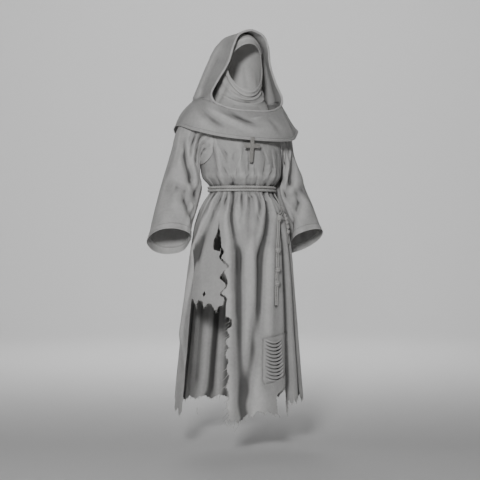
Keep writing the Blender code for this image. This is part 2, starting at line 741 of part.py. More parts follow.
def build_tunic(finish):
    """The front and the two back panels, from neck to hem."""
    waist = [0.975, 1.018, 1.052, 1.074, 1.100, 1.120, 1.142, 1.176, 1.216]
    chest = [1.262, 1.312, 1.362, 1.400]
    skirt = [0.925, 0.865, 0.800, 0.730, 0.655, 0.575, 0.495, 0.415, 0.335, 0.262, 0.215]
    turn_r, turn_l = seam_turn(-1, RIGHT_SEAM), seam_turn(1, LEFT_SEAM)

    left, right = seam_angle(RIGHT_SEAM, 1), seam_angle(LEFT_SEAM, -1)
    hole_l = armhole(1, -turn_l, turn_l, 12)
    hole_l[[0, -1], 0] = right
    hole_r = armhole(-1, turn_r, -turn_r, 12)
    hole_r[[0, -1], 0] = left
    thigh = columns_of(THIGH_EDGE, "angle", "height")
    thigh[0, 0] = left
    hem = columns_of(FRONT_HEM, "angle", "height")
    hem[-1, 0] = right
    outline = np.concatenate([
        thigh,
        columns_of(RIP, "left", "height")[::-1],
        columns_of(RIP, "right", "height")[1:],
        columns_of(TORN_EDGE, "angle", "height"),
        hem,
        seam_line(right, hole_l[0, 1], hem[-1, 1])[::-1],
        hole_l,
        [(right, NECK_HEIGHT), (left, NECK_HEIGHT)],
        hole_r,
        seam_line(left, hole_r[-1, 1], thigh[0, 1]),
    ])
    diamond = [(-62.6, 0.660), (-60.6, 0.649), (-58.4, 0.661), (-60.4, 0.674)]
    grid = grid_rows([(skirt, 5.4), (waist, 4.0), (chest, 11.0)], RIGHT_SEAM, LEFT_SEAM)
    holes = [*ladder_slots(), diamond]
    front = panel("tunic_front", tunic_place, outline, grid, (5.4, 0.062), CLOTH, finish, holes)

    # The back is two panels with a seam down its middle
    hem = columns_of(BACK_HEM, "angle", "height")
    middle = (BACK_SEAM, np.interp(BACK_SEAM, hem[:, 0], hem[:, 1]))
    bands = [(skirt, 6.0), (waist, 5.2), (chest, 11.0)]
    steps = (6.0, 0.062)

    left, right = seam_angle(LEFT_SEAM, 1), seam_angle(BACK_SEAM, -1)
    hole_l = armhole(1, turn_l, 360 - turn_l, 12)
    hole_l[[0, -1], 0] = left
    edge = np.concatenate([hem[hem[:, 0] < BACK_SEAM], [middle]])
    edge[0, 0], edge[-1, 0] = left, right
    outline = np.concatenate([
        edge,
        seam_line(right, NECK_HEIGHT, middle[1])[::-1],
        [(right, NECK_HEIGHT), (left, NECK_HEIGHT)],
        hole_l,
        seam_line(left, hole_l[-1, 1], edge[0, 1]),
    ])
    grid = grid_rows(bands, LEFT_SEAM, BACK_SEAM)
    back_l = panel("tunic_back_left", tunic_place, outline, grid, steps, CLOTH, finish)

    left, right = seam_angle(BACK_SEAM, 1), seam_angle(RIGHT_SEAM + 360, -1)
    hole_r = armhole(-1, -turn_r, turn_r - 360, 12)
    hole_r[:, 0] += 360
    hole_r[[0, -1], 0] = right
    edge = np.concatenate([[middle], hem[hem[:, 0] > BACK_SEAM]])
    edge[0, 0], edge[-1, 0] = left, right
    outline = np.concatenate([
        edge,
        seam_line(right, hole_r[0, 1], edge[-1, 1])[::-1],
        hole_r,
        [(right, NECK_HEIGHT), (left, NECK_HEIGHT)],
        seam_line(left, NECK_HEIGHT, middle[1]),
    ])
    grid = grid_rows(bands, BACK_SEAM, RIGHT_SEAM + 360)
    back_r = panel("tunic_back_right", tunic_place, outline, grid, steps, CLOTH, finish)
    return front, back_l, back_r


def armhole_ring(side, around):
    """The start of a sleeve: the armhole's outline, a little wider, standing off the tunic."""
    turns = 90.0 - around
    angle, height = armhole_points(side, turns, ARMHOLE_GROW)
    out = normals(body_form, angle, height, 0.2, 0.002)
    return tunic_place(angle, height) + out * ARMHOLE_LIFT


def clear_of_tunic(points, gap):
    """Points moved out sideways where they would touch the tunic."""
    height = points[:, 2] + CARRY_HEIGHT
    x = points[:, 0] - column(BODY, "height", "centre_x", height)
    y = points[:, 1] - column(BODY, "height", "centre_y", height)
    half = column(BODY, "height", "half_width", height)
    depth = np.where(y < 0, column(BODY, "height", "front", height), column(BODY, "height", "back", height))
    reach = np.maximum(np.hypot(x / (half + gap), y / (depth + gap)), 0.2)
    soft = 1.0 + np.clip(reach - 0.85, 0.0, 0.3) ** 2 / 0.6
    push = np.where((reach > 1.15) | (height > NECK_HEIGHT), reach, soft) / reach
    moved = points.copy()
    moved[:, 0] += x * (push - 1.0)
    moved[:, 1] += y * (push - 1.0)
    return moved


def sleeve_place(side):
    """The sleeve's form on one side, -1 for the wearer's right: angle round it, then the way along it."""
    lean = np.where(side > 0, 0.010, 0.0)

    def place(around, along):
        turn = np.radians(around)
        rings = [armhole_ring(side, around)]
        for k in range(len(SLEEVE["along"])):
            row = {name: SLEEVE[name][k] for name in SLEEVE}
            out, front = np.cos(turn), np.sin(turn)
            x = side * (row["x"] - lean + row["out_x"] * out)
            y = row["y"] + row["front_y"] * front
            z = row["z"] + row["out_z"] * out + row["front_z"] * front
            rings.append(np.stack([x + 0 * turn, y, z], axis=1))
        points = through([0.0, *SLEEVE["along"]], np.stack(rings), along)
        beside_belt = np.exp(-(((points[:, 2] + CARRY_HEIGHT - BELT_HEIGHT) / 0.05) ** 2))
        gap = 0.002 + 0.014 * ease(along / 0.25) + 0.020 * beside_belt
        cleared = clear_of_tunic(points, gap)
        return cleared * ease(along / 0.03)[:, None] + points * (1 - ease(along / 0.03))[:, None]

    def folded(around, along):
        around, along = np.asarray(around, float), np.asarray(along, float)
        wrapped = (around + 150.0) % 360.0 - 150.0
        out = normals(place, around, along, 0.5, 0.004) * side
        return place(around, along) + out * creases(SLEEVE_FOLDS, wrapped, along, 120.0)[:, None]

    return folded


def build_sleeve(name, side, tunic, finish):
    rows = [0.0, 0.05, 0.11, 0.18, 0.26, 0.35, 0.45, 0.55, 0.65, 0.76, 0.88, 1.0]
    over = skins_of(tunic)
    return tube(name, sleeve_place(side), SLEEVE_COLUMNS, rows, CLOTH, finish, flip=side < 0, over=over)


def neck_line(angle):
    """The neck line, alike on both sides, in straight runs so that the hood and the cape meet on it."""
    angle = (np.asarray(angle, float) + 180.0) % 360.0 - 180.0
    stations = np.arange(0.0, 180.1, NECK_STEP)
    x, y, z = (np.interp(np.abs(angle), stations, column(NECK_LINE, "angle", name, stations)) for name in "xyz")
    return np.stack([np.sign(angle) * x, y, z], axis=1)


def cape_form(angle, along):
    turn = np.radians(angle)
    wrapped = (np.asarray(angle, float) + 180.0) % 360.0 - 180.0
    depth = np.where(np.cos(turn) > 0, CAPE_FRONT, CAPE_BACK)
    hem_z = column(CAPE_HEM, "angle", "height", wrapped) - CARRY_HEIGHT
    hem_x = CAPE_HALF_WIDTH * np.sin(turn)
    hem = np.stack([hem_x, CAPE_CENTRE_Y - depth * np.cos(turn), hem_z], axis=1)
    neck = neck_line(angle)
    t = np.asarray(along, float)[:, None]
    swell = 0.012 * np.sin(np.pi * np.clip(t, 0, 1))
    away = np.stack([np.sin(turn), -np.cos(turn), 0.4 + 0 * turn], axis=1)
    return neck + (hem - neck) * t + away * swell


def cape_place(angle, along):
    angle, along = np.asarray(angle, float), np.asarray(along, float)
    wrapped = (angle + 110.0) % 360.0 - 110.0
    out = -normals(cape_form, angle, along, 0.5, 0.01)
    fade = ease(along / 0.12)
    return cape_form(angle, along) + out * (fade * creases(CAPE_FOLDS, wrapped, along, 60.0))[:, None]


def build_cape(below, finish):
    """The cape's front and back, parted by seams over the shoulders, resting on the sleeves."""
    over = skins_of(below)
    rows = [0.0, 0.12, 0.26, 0.42, 0.60, 0.80, 1.0]
    made = []
    for name, start, end in (("cape_front", -90.0, 90.0), ("cape_back", 90.0, 270.0)):
        left, right = seam_angle(start, 1), seam_angle(end, -1)
        grid = grid_rows([(rows, NECK_STEP)], left, right)
        outline = [(left, 0.0), (right, 0.0)]
        outline += [(right, along) for along in rows[1:]]
        outline += [(left, along) for along in rows[:0:-1]]
        steps, deltas = (NECK_STEP, 0.2), (0.5, 0.01)
        made.append(panel(name, cape_place, outline, grid, steps, HEAVY_CLOTH, finish, (), True, deltas, over))
    return made


def hood_place(side):
    """Half the hood: the way back from its front edge, then the way up from the neck line."""

    def form(back, up):
        base = neck_line(side * (CORNER_ANGLE + (180.0 - CORNER_ANGLE) * np.clip(back, 0, 1)))
        base[:, 2] += LYING_GAP
        rings = [base]
        for k in range(len(HOOD["up"])):
            row = {name: HOOD[name][k] for name in HOOD}
            front = np.clip(back / 0.4, -1, 1)
            rear = np.clip((back - 0.4) / 0.6, 0, 1.1)
            x = row["edge_x"] + (row["wide"] - row["edge_x"]) * np.sin(front * np.pi / 2)
            x = np.where(back > 0.4, row["wide"] * np.cos(rear * np.pi / 2), x)
            y = row["edge_y"] + (row["mid_y"] - row["edge_y"]) * front
            y += (row["back_y"] - row["mid_y"]) * np.sin(rear * np.pi / 2)
            z = row["edge_z"] + (row["back_z"] - row["edge_z"]) * back
            z += row["lift"] * np.sin(np.pi * back)
            rings.append(np.stack([side * x, y, z], axis=1))
        return through([0.0, *HOOD["up"]], np.stack(rings), up)

    def folded(back, up):
        back, up = np.asarray(back, float), np.asarray(up, float)
        out = normals(form, back, up, 0.01, 0.01) * side
        fade = ease(up / 0.08) * ease((1.0 - up) / 0.15) * ease(back / 0.08) * ease((1.0 - back) / 0.08)
        return form(back, up) + out * (fade * creases(HOOD_FOLDS, back, up, 0.6))[:, None]

    return folded


def hood_edge_line():
    """Points round the face opening, with the way that leads off the cloth into the opening."""
    points, away = [], []
    for side, ups in ((1, HOOD_ROWS), (-1, HOOD_ROWS[-2::-1])):
        ups = np.array(ups)
        edge = hood_place(side)(0 * ups, ups)
        points.append(edge)
        away.append(edge - hood_place(side)(0 * ups + 0.02, ups))
    angles = np.arange(-CORNER_ANGLE, CORNER_ANGLE + 0.1, NECK_STEP)[1:-1]
    edge = cape_place(angles, 0 * angles)
    points.append(edge)
    away.append(edge - cape_place(angles, 0 * angles + 0.03))
    points, away = np.concatenate(points), np.concatenate(away)
    away /= np.linalg.norm(away, axis=1, keepdims=True)
    away = away + 0.5 * (np.roll(away, 1, axis=0) + np.roll(away, -1, axis=0))
    return points, away / np.linalg.norm(away, axis=1, keepdims=True)


def stand_off(points, away, trees, gap):
    """Points moved along their ways until each is at least the gap from the cloth."""
    moved = points.copy()
    for _ in range(12):
        for i in range(len(moved)):
            near = min(tree.find_nearest(Vector(moved[i]))[3] for tree in trees)
            if near < gap:
                moved[i] += away[i] * (gap - near)
    return moved


def build_hood(finish):
    ups = HOOD_ROWS
    made = []
    backs = [i * NECK_STEP / (180.0 - CORNER_ANGLE) for i in range(15)]
    for name, side in (("hood_right", -1), ("hood_left", 1)):
        place = hood_place(side)

        def parted(back, up, place=place, side=side):
            points = place(back, up)
            points[:, 0] += side * 0.5 * SEAM_GAP
            return points

        outline = [(back, 0.0) for back in backs]
        outline += [(1.0, up) for up in ups[1:]]
        outline += [(back, 1.0) for back in backs[-2::-1]]
        outline += [(0.0, up) for up in ups[-2:0:-1]]
        grid = [(back, up) for up in ups for back in backs]
        steps, deltas = (0.08, 0.12), (0.01, 0.01)
        made.append(panel(name, parted, outline, grid, steps, CLOTH, finish, (), side < 0, deltas))
    return made


def rope(name, points, radius, finish, closed=False, resolution=2):
    """A round rope along a line of points."""
    curve = bpy.data.curves.new(name, "CURVE")
    curve.dimensions = "3D"
    curve.bevel_depth = radius
    curve.bevel_resolution = resolution
    curve.use_fill_caps = not closed
    spline = curve.splines.new("POLY")
    spline.points.add(len(points) - 1)
    for point, (x, y, z) in zip(spline.points, points):
        point.co = (x, y, z, 1.0)
    spline.use_cyclic_u = closed
    curve.materials.append(finish)
    made = bpy.data.objects.new(name, curve)
    bpy.context.scene.collection.objects.link(made)
    return made


def build_hood_edge(cloths, finish):
    points, away = hood_edge_line()
    centres = stand_off(points + away * BINDING_RADIUS, away, skins_of(cloths, True), BINDING_RADIUS + LYING_GAP)
    return rope("hood_edge", centres, BINDING_RADIUS, finish, closed=True, resolution=1)


def wimple_form(angle, along):
    turn = np.radians(angle)
    row = {name: column(WIMPLE, "along", name, along) for name in WIMPLE if name != "along"}
    front, back = 0.5 * (1 + np.cos(turn)), 0.5 * (1 - np.cos(turn))
    side = np.sin(turn) ** 2
    x = row["half_width"] * np.sin(turn)
    y = row["front_y"] * front + row["back_y"] * back + row["setback"] * side
    z = row["front_z"] * front + row["back_z"] * back + row["lift"] * side
    return np.stack([x, y, z], axis=1)


def wimple_place(angle, along):
    angle, along = np.asarray(angle, float), np.asarray(along, float)
    out = normals(wimple_form, angle, along, 1.0, 0.005) * -1
    facing = ease(0.5 + 0.5 * np.cos(np.radians(angle)) + 0.1)
    rolls = np.zeros(len(along))
    for middle, width, depth in zip(NECK_ROLLS["along"], NECK_ROLLS["width"], NECK_ROLLS["depth"]):
        rolls += depth * np.exp(-(((along - middle) / width) ** 2))
    return wimple_form(angle, along) + out * (facing * rolls)[:, None]


def build_wimple(tunic, finish):
    rows = [0.0, 0.06, 0.13, 0.20, 0.27, 0.34, 0.41, 0.48, 0.55, 0.62, 0.72, 0.85, 1.0]
    return tube("wimple", wimple_place, WIMPLE_COLUMNS, rows, LINEN, finish, True, (1.0, 0.005), skins_of(tunic))


def build_coif_band(finish):
    """The band over the forehead, lying on the neck cloth's upper edge."""
    step = 360.0 / WIMPLE_COLUMNS
    left, right = 8 * step, 16 * step
    rows = [0.0, 0.06, 0.10]

    def place(angle, along):
        out = normals(wimple_place, np.asarray(angle, float), np.asarray(along, float), 1.0, 0.005) * -1
        return wimple_place(angle, along) + out * (LINEN + LYING_GAP)

    outline = [(left, 0.0), (right, 0.0), (right, 0.06), (right, 0.10), (left, 0.10), (left, 0.06)]
    grid = grid_rows([(rows, step)], left, right)
    return panel("coif_band", place, outline, grid, (step, 0.05), LINEN, finish, flip=True, deltas=(1.0, 0.005))


def settled(points, out, trees, gaps, closed=False):
    """A line of points moved out until every stretch of it lies its gap above the cloth."""
    points = points.copy()
    last = len(points) if closed else len(points) - 1
    for _ in range(30):
        for i in range(last):
            k = (i + 1) % len(points)
            for t in (0.0, 0.25, 0.5, 0.75, 1.0):
                spot = points[i] * (1 - t) + points[k] * t
                short = lack(spot, trees, gaps[i] * (1 - t) + gaps[k] * t)[0]
                points[i] += out[i] * short * (1 - t)
                points[k] += out[k] * short * t
    return points


def build_belt(tunic, finish):
    """Two turns of rope, one above the other, drawn tight over the tunic's gathers."""
    trees = skins_of(tunic)
    angles = np.arange(0.0, 360.0, 12.0)
    ropes = []
    for name, side in (("belt_lower", -1), ("belt_upper", 1)):
        height = BELT_HEIGHT + side * (ROPE_RADIUS + 0.5 * SEAM_GAP) + 0 * angles
        out = np.stack([np.sin(np.radians(angles)), -np.cos(np.radians(angles)), 0 * angles], axis=1)
        points = body_form(angles, height) + out * ROPE_RADIUS
        points = settled(points, out, trees, ROPE_RADIUS + LYING_GAP + 0 * angles, closed=True)
        ropes.append(rope(name, points, ROPE_RADIUS, finish, closed=True))
    return ropes


def build_cord(name, rows, gap, tunic, finish):
    """A hanging end: single or double strands and knots, as stations down the skirt."""
    trees = skins_of(tunic)
    angle, height = rows["angle"], rows["height"]
    out = normals(body_form, angle, height, 0.2, 0.002)
    points = tunic_place(angle, height) + out * rows["thickness"][:, None]
    points = settled(points, out, trees, rows["thickness"] + gap)
    along = np.gradient(points, axis=0)
    along /= np.linalg.norm(along, axis=1, keepdims=True)
    across = np.cross(out, along)
    across /= np.linalg.norm(across, axis=1, keepdims=True)
    up = np.cross(along, across)
    turns = np.radians(np.arange(CORD_SIDES) * 360.0 / CORD_SIDES)
    rings = []
    for i in range(len(points)):
        waist = 1.0 - rows["pinch"][i] * np.abs(np.sin(turns)) ** 6
        wide = rows["width"][i] * np.cos(turns)
        thick = rows["thickness"][i] * np.sin(turns) * waist
        rings.append(points[i] + wide[:, None] * across[i] + thick[:, None] * up[i])
    count = len(rings)
    skin = np.concatenate([*rings, points[:1], points[-1:]])
    faces = []
    for j in range(count - 1):
        for i in range(CORD_SIDES):
            k = (i + 1) % CORD_SIDES
            a, b = j * CORD_SIDES + i, j * CORD_SIDES + k
            faces += [(a, b, b + CORD_SIDES), (a, b + CORD_SIDES, a + CORD_SIDES)]
    first, last = count * CORD_SIDES, count * CORD_SIDES + 1
    for i in range(CORD_SIDES):
        k = (i + 1) % CORD_SIDES
        faces.append((first, k, i))
        faces.append((last, (count - 1) * CORD_SIDES + i, (count - 1) * CORD_SIDES + k))
    return add_object(name, skin, faces, finish)


def build_cross(cloths, finish):
    """A plain cross that hangs from the cape's hem and leans on the chest."""
    bar, arm, shoulder = CROSS_BAR / 2, CROSS_WIDTH / 2, CROSS_SHOULDER
    outline = [
        (-bar, 0.0), (-bar, shoulder + bar), (-arm, shoulder + bar), (-arm, shoulder - bar),
        (-bar, shoulder - bar), (-bar, -CROSS_HEIGHT + bar / 2), (0.0, -CROSS_HEIGHT),
        (bar, -CROSS_HEIGHT + bar / 2), (bar, shoulder - bar), (arm, shoulder - bar),
        (arm, shoulder + bar), (bar, shoulder + bar), (bar, 0.0),
    ]
    count = len(outline)
    lean = math.radians(CROSS_LEAN)
    back = np.array([(x, -z * math.sin(lean), z * math.cos(lean)) for x, z in outline]) + CROSS_TOP
    trees = skins_of(cloths)
    after = np.roll(back, -1, axis=0)
    spots = np.concatenate([back + (after - back) * t for t in np.linspace(0.0, 1.0, 9)[:-1]])
    while max(lack(spot, trees, LYING_GAP)[0] for spot in spots) > 0:
        spots[:, 1] -= 0.0002
    back = spots[:count]
    front = back + np.array([0.0, -math.cos(lean), -math.sin(lean)]) * CROSS_THICKNESS
    faces = [tuple(range(count))[::-1], tuple(range(count, 2 * count))]
    faces += [(i, (i + 1) % count, count + (i + 1) % count, count + i) for i in range(count)]
    return add_object("cross", np.concatenate([back, front]), faces, finish)


def main():
    for old in list(bpy.data.objects):
        bpy.data.objects.remove(old, do_unlink=True)
    cloth = material("habit_cloth", CLOTH_COLOUR, 0.85)
    linen = material("linen", LINEN_COLOUR, 0.8)
    cord = material("rope", ROPE_COLOUR, 0.8)
    wood = material("wood", WOOD_COLOUR, 0.55)
    tunic = build_tunic(cloth)
    sleeves = [build_sleeve("sleeve_right", -1, tunic, cloth), build_sleeve("sleeve_left", 1, tunic, cloth)]
    cape = build_cape([*tunic, *sleeves], cloth)
    hood = build_hood(cloth)
    build_hood_edge([*cape, *hood], cloth)
    build_wimple(tunic, linen)
    build_coif_band(linen)
    build_belt(tunic, cord)
    build_cord("cord_front", FRONT_CORD, FRONT_CORD_GAP, tunic, cord)
    build_cord("cord_hip", HIP_CORD, HIP_CORD_GAP, tunic, cord)
    build_cross([*tunic, cape[0]], wood)


main()
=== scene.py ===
import math

import bpy
import numpy as np
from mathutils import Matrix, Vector
from mathutils.bvhtree import BVHTree
from mathutils.geometry import delaunay_2d_cdt


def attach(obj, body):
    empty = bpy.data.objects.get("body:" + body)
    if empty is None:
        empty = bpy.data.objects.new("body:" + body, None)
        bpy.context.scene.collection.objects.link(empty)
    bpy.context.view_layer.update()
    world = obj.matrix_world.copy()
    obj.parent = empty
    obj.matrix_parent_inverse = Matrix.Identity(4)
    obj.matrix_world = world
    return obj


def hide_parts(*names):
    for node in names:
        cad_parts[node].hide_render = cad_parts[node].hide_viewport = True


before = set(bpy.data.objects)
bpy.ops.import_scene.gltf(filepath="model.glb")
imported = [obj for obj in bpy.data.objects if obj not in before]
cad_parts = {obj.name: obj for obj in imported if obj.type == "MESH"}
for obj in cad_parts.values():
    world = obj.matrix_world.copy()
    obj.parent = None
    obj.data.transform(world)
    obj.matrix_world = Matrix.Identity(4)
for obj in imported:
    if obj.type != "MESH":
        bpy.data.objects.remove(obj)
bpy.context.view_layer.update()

# Angles go round the body in degrees, 0 at the front and 90 at the wearer's left.
# Heights are above the floor; the origin is between the shoulders.
floorDrop = 1.44
clothThick = 0.0020
lyingGap = 0.0006
stitchLift = 0.0003
creaseWidth = 1.6
flatScale = np.array([0.0042, 1.0])  # metres of cloth to a degree round the skirt, and to a metre of height


def table(columns, *rows):
    return {name: np.array([row[i] for row in rows], float) for i, name in enumerate(columns.split())}


